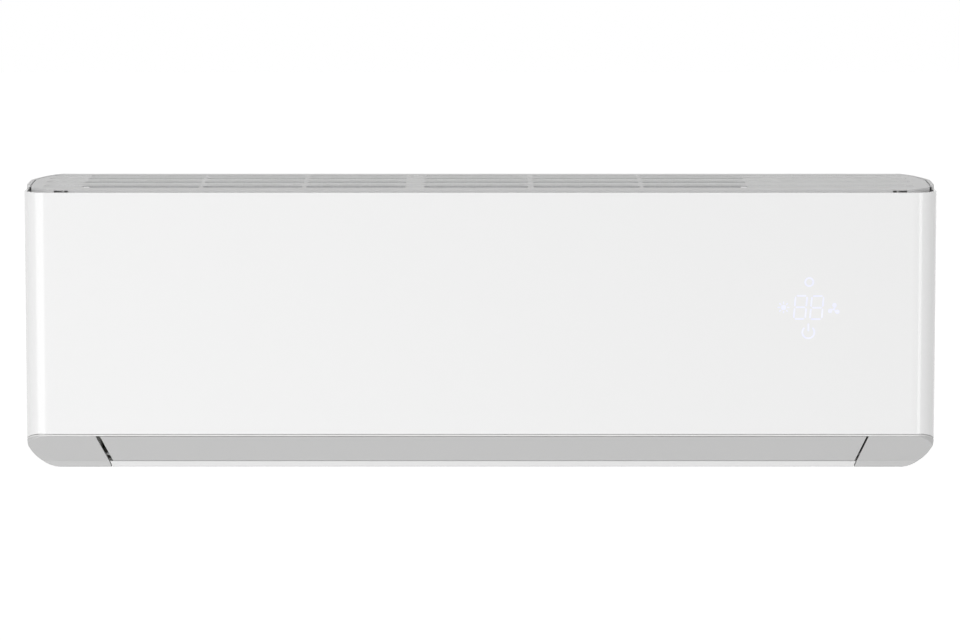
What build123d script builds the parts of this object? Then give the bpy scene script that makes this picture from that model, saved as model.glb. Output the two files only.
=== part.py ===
from build123d import *
import math
import os

# Indoor unit of a split air conditioner, millimetres.
# Origin: centre of the wall screw pattern, on the wall. +Z up, the front faces -Y, the wall is Y = 0.

os.makedirs("parts", exist_ok=True)

# ---------------------------------------------------------------- driving dimensions
WIDTH = 970.0
DEPTH = 225.0
TOP_Z = 138.0            # highest line of the crowned top
BOTTOM_Z = -167.0        # underside
FRONT_Y = -DEPTH
HALF = WIDTH / 2
SKIN = 2.5               # wall of the white shells
GAP = 1.2                # visible seam between two shells
REACH = 30.0             # how far tool bodies run past the wall plane and the ends

CORNER_R = 26.0          # vertical front corners
LOW_CORNER = (34.0, 42.0)         # half axes of the elliptical lower corners, seen from the front
TAPER_Y = -120.0         # the side walls draw in from here back to the wall
TAPER_X = 23.0
CROWN_Y = -108.0         # ridge of the crowned top
CROWN_R = 1763.0

PANEL_T = 3.0
PANEL_TOP_Z = 133.0
PANEL_LOW_Z = -124.8
PANEL_REAR_Y = -172.0    # the panel wraps round the corners back to here
PANEL_SEAM = 1.6         # its rear edge swings back a little as it opens
SEAM_FALL = 0.36         # round the corners the panel's lower edge falls towards the wall
SEAM_FALL_Y = -222.0     # from here back
SEAM_FALL_X = 459.0      # and from here out

BAND_TOP = (FRONT_Y, -127.0)      # the louver's plane, in (Y, Z)
BAND_LOW = (-180.0, -160.0)
LIP_LOW = (-176.0, BOTTOM_Z)

LOUVER_TOP_X = (-405.0, 411.0)    # ends of the louver's upper edge
LOUVER_LOW_X = (-394.5, 401.8)    # and of its lower edge
LEFT_END_GAP = 4.8
RIGHT_END_GAP = 2.4
CAP_REAR_Y = -150.0

COVER_INSET = 5.6        # the top cover's edge inside the case outline
SIDE_GAP = 1.6
COVER_FRONT_Y = -213.0
COVER_CORNER_R = 34.0

FAN_Y, FAN_Z = -112.0, -38.0
FAN_R = 49.0
FAN_X0, FAN_X1 = -402.0, 283.0
FAN_BLADES = 30
FAN_DISCS = 8
SHAFT_R = 4.0
RUN_FIT = 0.05           # radial clearance of a running fit

DUCT_X0, DUCT_X1 = -407.0, 415.0
DUCT_WALL = 3.0
FLOOR_LOW = (-172.0, -160.0)      # duct floor at the mouth, in (Y, Z)
FLOOR_TILT = 35.0                 # degrees, falling to the front
FLOOR_LENGTH = 119.2
SCROLL_REAR = (-52.0, -38.0)
SCROLL_TOP = (-76.6, 4.1)
TONGUE = (-150.0, -76.0)

VANES = 12
VANE_X0 = -372.0          # first vane
VANE_PITCH = 60.0
VANE_T = 1.8
VANE_PIVOT_S = 54.0      # along the duct floor, up from the mouth
VANE_ARM = 20.0          # from a vane's pivot to its link pin
VANE_TOP_H = 46.0
PIN_R = 1.5

LOUVER_AXIS = (-181.0, -151.6)    # in (Y, Z), just behind the louver's lower edge
LOUVER_PIN_R = 1.8
LOUVER_BUSH_R = 3.0
HINGE_AXIS = (-207.0, 124.0)
HINGE_PIN_R = 3.0
HINGE_X = 444.0

COIL_X0, COIL_X1 = -426.0, 284.0
COIL_T = 26.0
TUBE_R = 3.5
TUBE_PITCH = 21.0
ROW_PITCH = 13.0

PLATE_T = 1.2
BACK_Y = -14.0           # front face of the chassis back wall
BACK_T = 3.0

# ---------------------------------------------------------------- planes and outer form
floor_dir = (math.cos(math.radians(FLOOR_TILT)), math.sin(math.radians(FLOOR_TILT)))
floor_origin = (0, FLOOR_LOW[0], FLOOR_LOW[1])
floor_plane = Plane(floor_origin, x_dir=(1, 0, 0), z_dir=(0, -floor_dir[1], floor_dir[0]))


def vane_plane(x):
    """Plane square to X at one vane: local x runs up the duct floor, local y away from it."""
    origin = (x, FLOOR_LOW[0], FLOOR_LOW[1])
    return Plane(origin, x_dir=(0, *floor_dir), z_dir=(1, 0, 0))


def crown_z(y):
    """Height of the crowned top at a depth y."""
    return TOP_Z - CROWN_R + math.sqrt(CROWN_R ** 2 - (y - CROWN_Y) ** 2)


def plan_outline(inset, front_y, corner_r):
    """The case seen from above, drawn in by inset, with rounded front corners."""
    rear_x = HALF - TAPER_X * (REACH - TAPER_Y) / -TAPER_Y
    with BuildSketch() as plan:
        Polygon(
            (-rear_x + inset, REACH), (-HALF + inset, TAPER_Y), (-HALF + inset, front_y),
            (HALF - inset, front_y), (HALF - inset, TAPER_Y), (rear_x - inset, REACH), align=None,
        )
        fillet(plan.vertices().group_by(Axis.Y)[0], corner_r)
    return plan.sketch


def plan_band(inset, width, rear_y):
    """Strip along the front and round both corners of the plan outline, back to rear_y."""
    inner = inset + width
    with BuildSketch() as band:
        add(plan_outline(inset, FRONT_Y + inset, CORNER_R - inset))
        add(plan_outline(inner, FRONT_Y + inner, CORNER_R - inner), mode=Mode.SUBTRACT)
        with Locations((0, rear_y + WIDTH / 2)):
            Rectangle(2 * WIDTH, WIDTH, mode=Mode.SUBTRACT)
    return band.sketch


def upright_form(inset):
    """The plan outline and the front view's outline together, without the crown and the slanted band."""
    low_w, low_h = LOW_CORNER
    left, right, low, top = -HALF + inset, HALF - inset, BOTTOM_Z + inset, TOP_Z - inset
    corner_z = BOTTOM_Z + low_h
    with BuildPart() as body:
        with BuildSketch(Plane.XY.offset(BOTTOM_Z - REACH)):
            add(plan_outline(inset, FRONT_Y + inset, CORNER_R - inset))
        extrude(amount=TOP_Z - BOTTOM_Z + 2 * REACH)
        with BuildSketch(Plane.XZ.offset(-REACH - 5)):
            with BuildLine():
                Polyline((left, corner_z), (left, top), (right, top), (right, corner_z))
                EllipticalCenterArc(
                    (HALF - low_w, corner_z), low_w - inset, low_h - inset, start_angle=270, arc_size=90
                )
                Line((low_w - HALF, low), (HALF - low_w, low))
                EllipticalCenterArc(
                    (low_w - HALF, corner_z), low_w - inset, low_h - inset, start_angle=180, arc_size=90
                )
            make_face()
        extrude(amount=DEPTH + REACH + 20, mode=Mode.INTERSECT)
    return body.part


def case_solid(inset):
    """The unit's whole outer form, drawn in by inset; it runs past the wall plane."""
    with BuildPart() as body:
        add(upright_form(inset))
        with BuildSketch(Plane.YZ.offset(-HALF - REACH)):
            with BuildLine():
                ThreePointArc(
                    (FRONT_Y, crown_z(FRONT_Y)), (CROWN_Y, TOP_Z), (REACH, crown_z(REACH))
                )
                Polyline(
                    (REACH, crown_z(REACH)), (REACH, -146), (0, -152), (-40, -163), LIP_LOW,
                    BAND_LOW, BAND_TOP, (FRONT_Y, crown_z(FRONT_Y)),
                )
            make_face()
            if inset:
                offset(amount=-inset, kind=Kind.INTERSECTION)
        extrude(amount=WIDTH + 2 * REACH, mode=Mode.INTERSECT)
    return body.part


def corner_slab(side, top, thickness):
    """What lies between a falling seam line at height top and one lower down, beside one corner."""
    rear_y = -100.0
    drop = SEAM_FALL * (rear_y - SEAM_FALL_Y)
    with BuildPart() as slab:
        with BuildSketch(Plane.YZ.offset(side * SEAM_FALL_X)):
            Polygon(
                (FRONT_Y - 5, top), (SEAM_FALL_Y, top), (rear_y, top - drop),
                (rear_y, top - drop - thickness), (SEAM_FALL_Y, top - thickness),
                (FRONT_Y - 5, top - thickness), align=None,
            )
        extrude(amount=side * 40)
    return slab.part


outer_form = case_solid(0)
inner_form = case_solid(SKIN)


def save(builder, name):
    """Label one finished sub-part and write it."""
    builder.part.label = name
    export_step(builder.part, f"parts/{name}.step")


# ---------------------------------------------------------------- front panel
HINGE_ARM_T = 4.0
HINGE_PIN_X = 451.5
HINGE_BOSS_R = 6.0
ARM_FOOT_Z = (104.0, 118.0)      # where an arm joins the panel
PANEL_RIB_T = 2.0
PANEL_RIB_DEPTH = 2.2
rear_face_y = FRONT_Y + PANEL_T

with BuildPart() as front_panel:
    add(upright_form(0))
    add(upright_form(PANEL_T), mode=Mode.SUBTRACT)
    with BuildSketch(Plane.XZ.offset(-PANEL_REAR_Y)):
        with Locations((0, (PANEL_TOP_Z + BOTTOM_Z) / 2)):
            Rectangle(WIDTH, PANEL_TOP_Z - BOTTOM_Z)
    extrude(amount=DEPTH, mode=Mode.INTERSECT)
    with BuildSketch(Plane.XZ.offset(-PANEL_REAR_Y)):
        with Locations((0, PANEL_LOW_Z - 30)):
            Rectangle(2 * SEAM_FALL_X, 60)
    extrude(amount=DEPTH, mode=Mode.SUBTRACT)
    for side in (-1, 1):
        add(corner_slab(side, PANEL_LOW_Z, 60), mode=Mode.SUBTRACT)
    for z in (PANEL_LOW_Z + 1, PANEL_TOP_Z - 6):
        with BuildSketch(Plane.XY.offset(z)):
            with Locations((0, rear_face_y)):
                Rectangle(2 * (HALF - CORNER_R - 10), 2 * PANEL_RIB_DEPTH)
        extrude(amount=PANEL_RIB_T)
    for side in (-1, 1):
        with BuildSketch(Plane.YZ.offset(side * HINGE_X - HINGE_ARM_T / 2)):
            with BuildLine():
                Polyline(
                    (rear_face_y - 1, ARM_FOOT_Z[0]), (rear_face_y + 2, ARM_FOOT_Z[0]),
                    (HINGE_AXIS[0] + 3.5, HINGE_AXIS[1] - 4.8),
                    (HINGE_AXIS[0] - 3.5, HINGE_AXIS[1] + 4.8),
                    (rear_face_y - 1, ARM_FOOT_Z[1]), close=True,
                )
            make_face()
            with Locations(HINGE_AXIS):
                Circle(HINGE_BOSS_R)
        extrude(amount=HINGE_ARM_T)
        with BuildSketch(Plane.YZ.offset(side * HINGE_X)):
            with Locations(HINGE_AXIS):
                Circle(HINGE_PIN_R)
        extrude(amount=side * (HINGE_PIN_X - HINGE_X))
save(front_panel, "front_panel")

LATCH_X = 300.0
LATCH_Z = -108.0
with BuildPart() as panel_latches:
    for side in (-1, 1):
        with BuildSketch(Plane.YZ.offset(side * LATCH_X - 6)):
            Polygon(
                (rear_face_y, LATCH_Z - 3), (rear_face_y + 9, LATCH_Z - 1), (rear_face_y + 9, LATCH_Z + 3),
                (rear_face_y, LATCH_Z + 3), align=None,
            )
        extrude(amount=12)
save(panel_latches, "panel_latches")

# ---------------------------------------------------------------- side covers and grey end caps
cap_top_z = BAND_TOP[1]
seam_z = BAND_TOP[1] + GAP


def cap_outline(side):
    """Front view of one end cap's region; its inner edge is slanted like the louver's end."""
    if side < 0:
        top_x = LOUVER_TOP_X[0] - LEFT_END_GAP
        low_x = LOUVER_LOW_X[0] - LEFT_END_GAP + 0.4
    else:
        top_x = LOUVER_TOP_X[1] + RIGHT_END_GAP
        low_x = LOUVER_LOW_X[1] + RIGHT_END_GAP
    return [
        (side * (HALF + 5), cap_top_z), (top_x, cap_top_z), (low_x, BAND_LOW[1]),
        (low_x - side * 4, BOTTOM_Z - 5), (side * (HALF + 5), BOTTOM_Z - 5),
    ]


def end_cap(side):
    """Grey lower corner of the case."""
    with BuildPart() as cap:
        add(outer_form)
        add(inner_form, mode=Mode.SUBTRACT)
        with BuildSketch(Plane.XZ.offset(-CAP_REAR_Y)):
            Polygon(*cap_outline(side), align=None)
        extrude(amount=DEPTH, mode=Mode.INTERSECT)
        add(corner_slab(side, cap_top_z + 60, 60), mode=Mode.SUBTRACT)
    return cap


def side_cover(side):
    """White side wall, behind the panel and above and behind the end cap."""
    front_y = PANEL_REAR_Y + PANEL_SEAM
    with BuildPart() as cover:
        add(outer_form)
        add(inner_form, mode=Mode.SUBTRACT)
        with BuildSketch(Plane.XY.offset(BOTTOM_Z - 5)):
            with Locations((side * (HALF - 11), front_y / 2)):
                Rectangle(40, -front_y)
        extrude(amount=TOP_Z - BOTTOM_Z + 10, mode=Mode.INTERSECT)
        with BuildSketch(Plane.YZ.offset(side * (HALF - 50))):
            rear_y = CAP_REAR_Y + GAP
            rear_z = seam_z - SEAM_FALL * (rear_y - SEAM_FALL_Y)
            Polygon(
                (SEAM_FALL_Y, seam_z), (rear_y, rear_z), (rear_y, -200), (SEAM_FALL_Y, -200), align=None
            )
        extrude(amount=side * 60, mode=Mode.SUBTRACT)
        # The top cover lies just inside the side wall's upper edge.
        with BuildSketch(Plane.XY.offset(crown_z(0) - 10)):
            add(plan_outline(COVER_INSET - SIDE_GAP, FRONT_Y, CORNER_R))
        extrude(amount=40, mode=Mode.SUBTRACT)
    return cover


PIPE_EXIT_Y = -64.0
PIPE_EXIT_Z = (-146.0, -90.0)

left_end_cap = end_cap(-1)
save(left_end_cap, "left_end_cap")
right_end_cap = end_cap(1)
save(right_end_cap, "right_end_cap")
with BuildPart() as left_side_cover:
    add(side_cover(-1).part)
    # Way out for the pipes, at the foot of the rear edge.
    with BuildSketch(Plane.YZ.offset(-HALF - 5)):
        Polygon(
            (PIPE_EXIT_Y, PIPE_EXIT_Z[0]), (5, PIPE_EXIT_Z[0]), (5, PIPE_EXIT_Z[1]),
            (PIPE_EXIT_Y, PIPE_EXIT_Z[1]), align=None,
        )
    extrude(amount=45, mode=Mode.SUBTRACT)
save(left_side_cover, "left_side_cover")
right_side_cover = side_cover(1)
save(right_side_cover, "right_side_cover")

# ---------------------------------------------------------------- top grille
SLOT_ROWS_Y = (-181.0, -141.0, -101.0, -61.0)
SLOT_W = 24.0
SLOT_COLUMNS = ((-425, -300), (-296, -190), (-186, -80), (-60, 51), (57, 170), (174, 285))
GROOVE_X = (-466.0, 462.0)
GROOVE_DEPTH = 1.0
FLANGE_LOW_Z = 124.0
NOTCH_X = (437.5, 452.5)
NOTCH_REAR_Y = -196.0
NOTCH_TOP_Z = 134.05     # a thin skin stays over each notch

with BuildPart() as top_grille:
    with BuildSketch(Plane.XY.offset(FLANGE_LOW_Z)):
        add(plan_outline(COVER_INSET, COVER_FRONT_Y, COVER_CORNER_R))
    extrude(amount=TOP_Z - FLANGE_LOW_Z + 2)
    add(outer_form, mode=Mode.INTERSECT)
    with BuildSketch(Plane.YZ.offset(-HALF)):
        with BuildLine():
            ThreePointArc(
                (FRONT_Y, crown_z(FRONT_Y) - SKIN), (CROWN_Y, TOP_Z - SKIN), (0, crown_z(0) - SKIN)
            )
            Polyline(
                (0, crown_z(0) - SKIN), (0, 100), (FRONT_Y, 100), (FRONT_Y, crown_z(FRONT_Y) - SKIN)
            )
        make_face()
    hollow = extrude(amount=WIDTH, mode=Mode.PRIVATE)
    with BuildSketch(Plane.XY.offset(FLANGE_LOW_Z - 10)):
        add(plan_outline(COVER_INSET + SKIN, COVER_FRONT_Y + SKIN, COVER_CORNER_R - SKIN))
        with Locations((0, REACH / 2 - 5)):
            Rectangle(WIDTH, REACH, mode=Mode.SUBTRACT)
    well = extrude(amount=40, mode=Mode.PRIVATE)
    add(hollow & well, mode=Mode.SUBTRACT)
    with BuildSketch(Plane.XZ.offset(-REACH)):
        with Locations((0, 100)):
            Rectangle(WIDTH, 200)
    extrude(amount=REACH + 3, mode=Mode.SUBTRACT)
    for row_y in SLOT_ROWS_Y:
        with BuildSketch(Plane.XY.offset(crown_z(row_y) - GROOVE_DEPTH)):
            with Locations((sum(GROOVE_X) / 2, row_y)):
                RectangleRounded(GROOVE_X[1] - GROOVE_X[0], SLOT_W, SLOT_W / 2 - 1)
        extrude(amount=10, mode=Mode.SUBTRACT)
        for x0, x1 in SLOT_COLUMNS:
            with BuildSketch(Plane.XY.offset(FLANGE_LOW_Z + 2)):
                with Locations(((x0 + x1) / 2, row_y)):
                    RectangleRounded(x1 - x0, SLOT_W - 2, 3)
            extrude(amount=20, mode=Mode.SUBTRACT)
    for side in (-1, 1):
        with BuildSketch(Plane.XY.offset(FLANGE_LOW_Z - 1)):
            with Locations((side * sum(NOTCH_X) / 2, (COVER_FRONT_Y + NOTCH_REAR_Y) / 2 - 3)):
                Rectangle(NOTCH_X[1] - NOTCH_X[0], NOTCH_REAR_Y - COVER_FRONT_Y + 6)
        extrude(amount=NOTCH_TOP_Z - FLANGE_LOW_Z + 1, mode=Mode.SUBTRACT)
save(top_grille, "top_grille")

# ---------------------------------------------------------------- front frame
FRAME_Y = (-218.5, -214.5)
FRAME_HALF = 467.0
FRAME_Z = (-127.0, 127.0)
FILTER_WINDOWS = ((-422, -76), (-66, 280))
WINDOW_Z = (-56.0, 100.0)
SILL_INSET = 0.6
SILL_W = 9.0
SILL_T = 1.6
SOCKET_X = (446.8, 451.8)
BUTTON_X, BUTTON_Z = 402.0, -40.0
BUTTON_R = 4.0
BUTTON_LENGTH = 8.0
BUTTON_PROUD = 0.8       # how far it stands out of the frame, just behind the shut panel
CUP_DEPTH = 10.0
frame_t = FRAME_Y[1] - FRAME_Y[0]
CASE_SCREWS_X = (-360.0, -120.0, 120.0, 360.0)
CASE_SCREW_Z = -100.0
CASE_SCREW_R = 1.75

with BuildPart() as front_frame:
    with BuildSketch(Plane.XZ.offset(-FRAME_Y[1])):
        with Locations((0, sum(FRAME_Z) / 2)):
            Rectangle(2 * FRAME_HALF, FRAME_Z[1] - FRAME_Z[0])
        for x0, x1 in FILTER_WINDOWS:
            with Locations(((x0 + x1) / 2, sum(WINDOW_Z) / 2)):
                RectangleRounded(x1 - x0, WINDOW_Z[1] - WINDOW_Z[0], 6, mode=Mode.SUBTRACT)
        for side in (-1, 1):
            with Locations((side * (HINGE_X - 1), FRAME_Z[1])):
                Rectangle(9.6, 50, mode=Mode.SUBTRACT)
            with Locations((side * LATCH_X, LATCH_Z + 1)):
                Rectangle(15, 11, mode=Mode.SUBTRACT)
        with Locations(*[(x, CASE_SCREW_Z) for x in CASE_SCREWS_X]):
            Circle(CASE_SCREW_R + 0.4, mode=Mode.SUBTRACT)
    extrude(amount=frame_t)
    with BuildPart(mode=Mode.PRIVATE) as sill:
        with BuildSketch(Plane.XY.offset(FRAME_Z[0] - 25)):
            add(plan_band(SILL_INSET, SILL_W, PANEL_REAR_Y))
        extrude(amount=26 + SILL_T)
        with BuildSketch(Plane.XZ):
            with Locations((0, FRAME_Z[0] + SILL_T / 2)):
                Rectangle(2 * SEAM_FALL_X, SILL_T)
        straight = extrude(amount=DEPTH, mode=Mode.PRIVATE)
        corners = [corner_slab(side, FRAME_Z[0] + SILL_T, SILL_T) for side in (-1, 1)]
        add(straight + corners, mode=Mode.INTERSECT)
        add(upright_form(SILL_INSET), mode=Mode.INTERSECT)
    add(sill.part)
    for side in (-1, 1):
        with BuildSketch(Plane.YZ.offset(min(side * SOCKET_X[0], side * SOCKET_X[1]))):
            Polygon(
                (FRAME_Y[1] - 1, 112), (HINGE_AXIS[0] + 6, 116), (HINGE_AXIS[0] + 6, 130),
                (FRAME_Y[1] + 2, 130), (FRAME_Y[1] - 1, 127), align=None,
            )
            with Locations(HINGE_AXIS):
                Circle(HINGE_PIN_R + RUN_FIT, mode=Mode.SUBTRACT)
        extrude(amount=SOCKET_X[1] - SOCKET_X[0])
    # Guide for the manual button, and the cup that holds its spring.
    with BuildSketch(Plane.XZ.offset(-FRAME_Y[1])):
        with Locations((BUTTON_X, BUTTON_Z)):
            Circle(BUTTON_R + 4)
    extrude(amount=-CUP_DEPTH - 1)
    with BuildSketch(Plane.XZ.offset(-FRAME_Y[0] + 1)):
        with Locations((BUTTON_X, BUTTON_Z)):
            Circle(BUTTON_R + RUN_FIT)
    extrude(amount=-(frame_t + CUP_DEPTH), mode=Mode.SUBTRACT)
save(front_frame, "front_frame")

SPRING_COILS = 5
SPRING_R = 2.6
SPRING_WIRE_R = 0.3
button_front_y = FRAME_Y[0] - BUTTON_PROUD
button_rear_y = button_front_y + BUTTON_LENGTH
with BuildPart() as auto_button:
    with BuildSketch(Plane.XZ.offset(-button_rear_y)):
        with Locations((BUTTON_X, BUTTON_Z)):
            Circle(BUTTON_R)
    extrude(amount=BUTTON_LENGTH)
    chamfer(auto_button.edges().group_by(Axis.Y)[0], 0.5)
save(auto_button, "auto_button")

spring_floor_y = FRAME_Y[1] + CUP_DEPTH - 1
spring_height = spring_floor_y - button_rear_y - 2 * SPRING_WIRE_R
with BuildPart() as button_spring:
    with BuildLine() as spring_line:
        Helix(
            pitch=spring_height / SPRING_COILS, height=spring_height, radius=SPRING_R,
            center=(BUTTON_X, button_rear_y + SPRING_WIRE_R, BUTTON_Z), direction=(0, 1, 0),
        )
    with BuildSketch(spring_line.line ^ 0):
        Circle(SPRING_WIRE_R)
    sweep(is_frenet=True)
save(button_spring, "button_spring")

# ---------------------------------------------------------------- underside cover with the outlet lip
with BuildPart() as bottom_cover:
    add(outer_form)
    add(inner_form, mode=Mode.SUBTRACT)
    with BuildSketch(Plane.XY.offset(BOTTOM_Z - 5)):
        rear_half = HALF - 31 - GAP
        lip_x0 = cap_outline(-1)[2][0] + GAP
        lip_x1 = cap_outline(1)[2][0] - GAP
        Polygon(
            (lip_x0, BAND_LOW[0] - 1), (lip_x1, BAND_LOW[0] - 1), (lip_x1, CAP_REAR_Y + GAP),
            (rear_half, CAP_REAR_Y + GAP), (rear_half, -3), (-rear_half, -3),
            (-rear_half, CAP_REAR_Y + GAP), (lip_x0, CAP_REAR_Y + GAP), align=None,
        )
    extrude(amount=BAND_LOW[1] - BOTTOM_Z + 5 + 12, mode=Mode.INTERSECT)
    with BuildSketch(Plane.YZ.offset(-HALF)):
        Polygon(
            (FRONT_Y, BAND_LOW[1]), (CAP_REAR_Y, BAND_LOW[1]), (CAP_REAR_Y, -100), (FRONT_Y, -100), align=None
        )
    extrude(amount=WIDTH, mode=Mode.SUBTRACT)
    # The lip's ends lean like the inner edges of the grey caps, a seam away from them.
    for side in (-1, 1):
        upper, lower = cap_outline(side)[2:4]
        with BuildSketch(Plane.XZ.offset(-CAP_REAR_Y - GAP)):
            Polygon(
                (upper[0] - side * GAP, upper[1]), (lower[0] - side * GAP, lower[1]),
                (upper[0] + side * 10, lower[1]), (upper[0] + side * 10, upper[1]), align=None,
            )
        extrude(amount=60, mode=Mode.SUBTRACT)
save(bottom_cover, "bottom_cover")

# ---------------------------------------------------------------- louver
LOUVER_GAP = 0.4         # over its upper edge and under its lower one
LOUVER_RIB_T = 2.5
LOUVER_RIBS_X = (-300.0, -200.0, -100.0, 100.0, 200.0, 300.0)
LOUVER_END_RIBS = (-389.0, 397.5)
STAY_HALF = 4.0
band_dir = Vector(0, BAND_LOW[0] - BAND_TOP[0], BAND_LOW[1] - BAND_TOP[1]).normalized()


def louver_web(height):
    """Web from the louver's skin in to a height over the band, in (Y, Z)."""
    inward = Vector(0, -band_dir.Z, band_dir.Y)
    start = Vector(0, *BAND_TOP) + band_dir * 8 + inward * (SKIN - 0.5)
    end = Vector(0, *BAND_TOP) + band_dir * 50 + inward * (SKIN - 0.5)
    top_a = start + band_dir * 8 + inward * height
    top_b = end - band_dir * 4 + inward * height
    return [(p.Y, p.Z) for p in (start, end, top_b, top_a)]


def axle_arm():
    """Arm from the louver's skin to its axis, in (Y, Z)."""
    inward = Vector(0, -band_dir.Z, band_dir.Y)
    foot = Vector(0, *BAND_TOP) + inward * (SKIN - 0.5)
    axis = Vector(0, *LOUVER_AXIS)
    points = (
        foot + band_dir * 34, foot + band_dir * 56, axis + band_dir * 4 + inward * 3,
        axis - band_dir * 4 + inward * 3,
    )
    return [(p.Y, p.Z) for p in points]


with BuildPart() as louver:
    add(outer_form)
    add(inner_form, mode=Mode.SUBTRACT)
    with BuildSketch(Plane.XZ.offset(165)):
        Polygon(
            (LOUVER_TOP_X[0], BAND_TOP[1] - LOUVER_GAP), (LOUVER_TOP_X[1], BAND_TOP[1] - LOUVER_GAP),
            (LOUVER_LOW_X[1], BAND_LOW[1] + LOUVER_GAP), (LOUVER_LOW_X[0], BAND_LOW[1] + LOUVER_GAP),
            align=None,
        )
    extrude(amount=80, mode=Mode.INTERSECT)
    for x in LOUVER_RIBS_X:
        with BuildSketch(Plane.YZ.offset(x - LOUVER_RIB_T / 2)):
            Polygon(*louver_web(5), align=None)
        extrude(amount=LOUVER_RIB_T)
    for x in (*LOUVER_END_RIBS, -STAY_HALF - 3, STAY_HALF + 0.5):
        with BuildSketch(Plane.YZ.offset(x)):
            Polygon(*axle_arm(), align=None)
            with Locations(LOUVER_AXIS):
                Circle(5)
        extrude(amount=LOUVER_RIB_T)
    with BuildSketch(Plane.YZ.offset(DUCT_X0 - 5)):
        with Locations(LOUVER_AXIS):
            Circle(LOUVER_PIN_R)
    extrude(amount=LOUVER_END_RIBS[0] - DUCT_X0 + 5)
    with BuildSketch(Plane.YZ.offset(-STAY_HALF - 1)):
        with Locations(LOUVER_AXIS):
            Circle(LOUVER_PIN_R)
    extrude(amount=2 * STAY_HALF + 2)
    with BuildSketch(Plane.YZ.offset(LOUVER_END_RIBS[1])):
        with Locations(LOUVER_AXIS):
            Circle(LOUVER_PIN_R)
    extrude(amount=DUCT_X1 + 11 - LOUVER_END_RIBS[1])
save(louver, "louver")

# ---------------------------------------------------------------- rear chassis
CHASSIS_HALF = 459.0
BACK_Z = (-96.0, 118.0)
TROUGH_Z = -6.0
END_WALL_X = -411.0
END_WALL_T = 4.0
MOTOR_WALL_X = 286.5
MOTOR_X0, MOTOR_X1 = 293.0, 360.0
MOTOR_R = 42.0
RING_R = 20.0            # rubber rings round the motor's end bosses
BOSS_R = 13.0
RING_W = 6.0
CRADLE2_X = 362.0
CHASSIS_RIBS_X = (-300.0, -180.0, -60.0, 60.0, 180.0)
HOOKS_X = (-250.0, 0.0, 250.0)
HOOK_W = 30.0
HOOK_Z = 84.0
SPLAY_WALL = ((290.0, 84.0), (412.0, 30.0))      # slanted end of the duct, in (X, s)
VANE_BOSS_R = 5.0
VANE_BOSS_DEPTH = 6.0
PIVOT_R = 2.0
CRANK_X = VANE_X0 + VANES * VANE_PITCH
half_wall = DUCT_WALL / 2


def floor_point(s, n):
    """(Y, Z) of a point s up the duct floor and n away from it."""
    return (
        FLOOR_LOW[0] + s * floor_dir[0] - n * floor_dir[1],
        FLOOR_LOW[1] + s * floor_dir[1] + n * floor_dir[0],
    )


def scroll_line():
    """Middle line of the duct floor and the fan scroll, with a lip at its top."""
    with BuildLine() as line:
        lower = Line(floor_point(3, -half_wall), floor_point(FLOOR_LENGTH, -half_wall))
        rear = TangentArc(
            lower @ 1, (SCROLL_REAR[0] + half_wall, SCROLL_REAR[1]), tangent=lower % 1
        )
        TangentArc(rear @ 1, (SCROLL_TOP[0] + 1, SCROLL_TOP[1] + 1), tangent=rear % 1)
    return line.line


def axle_tab():
    """Part of an end wall that carries the louver's bush, close behind the band, in (Y, Z)."""
    inward = Vector(0, -band_dir.Z, band_dir.Y)
    axis = Vector(0, *LOUVER_AXIS)
    points = (
        axis - band_dir * 6 - inward * 2.7, axis + band_dir * 5.5 - inward * 2.7,
        axis + band_dir * 3 + inward * 6, axis - band_dir * 9 + inward * 12,
    )
    return [(p.Y, p.Z) for p in points]


def axle_entry():
    """Slot through which the bush is pushed into the wall from the front, in (Y, Z)."""
    inward = Vector(0, -band_dir.Z, band_dir.Y)
    axis = Vector(0, *LOUVER_AXIS)
    half = band_dir * (LOUVER_BUSH_R - 0.3)
    points = (axis - half, axis + half, axis + half - inward * 5, axis - half - inward * 5)
    return [(p.Y, p.Z) for p in points]


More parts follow.
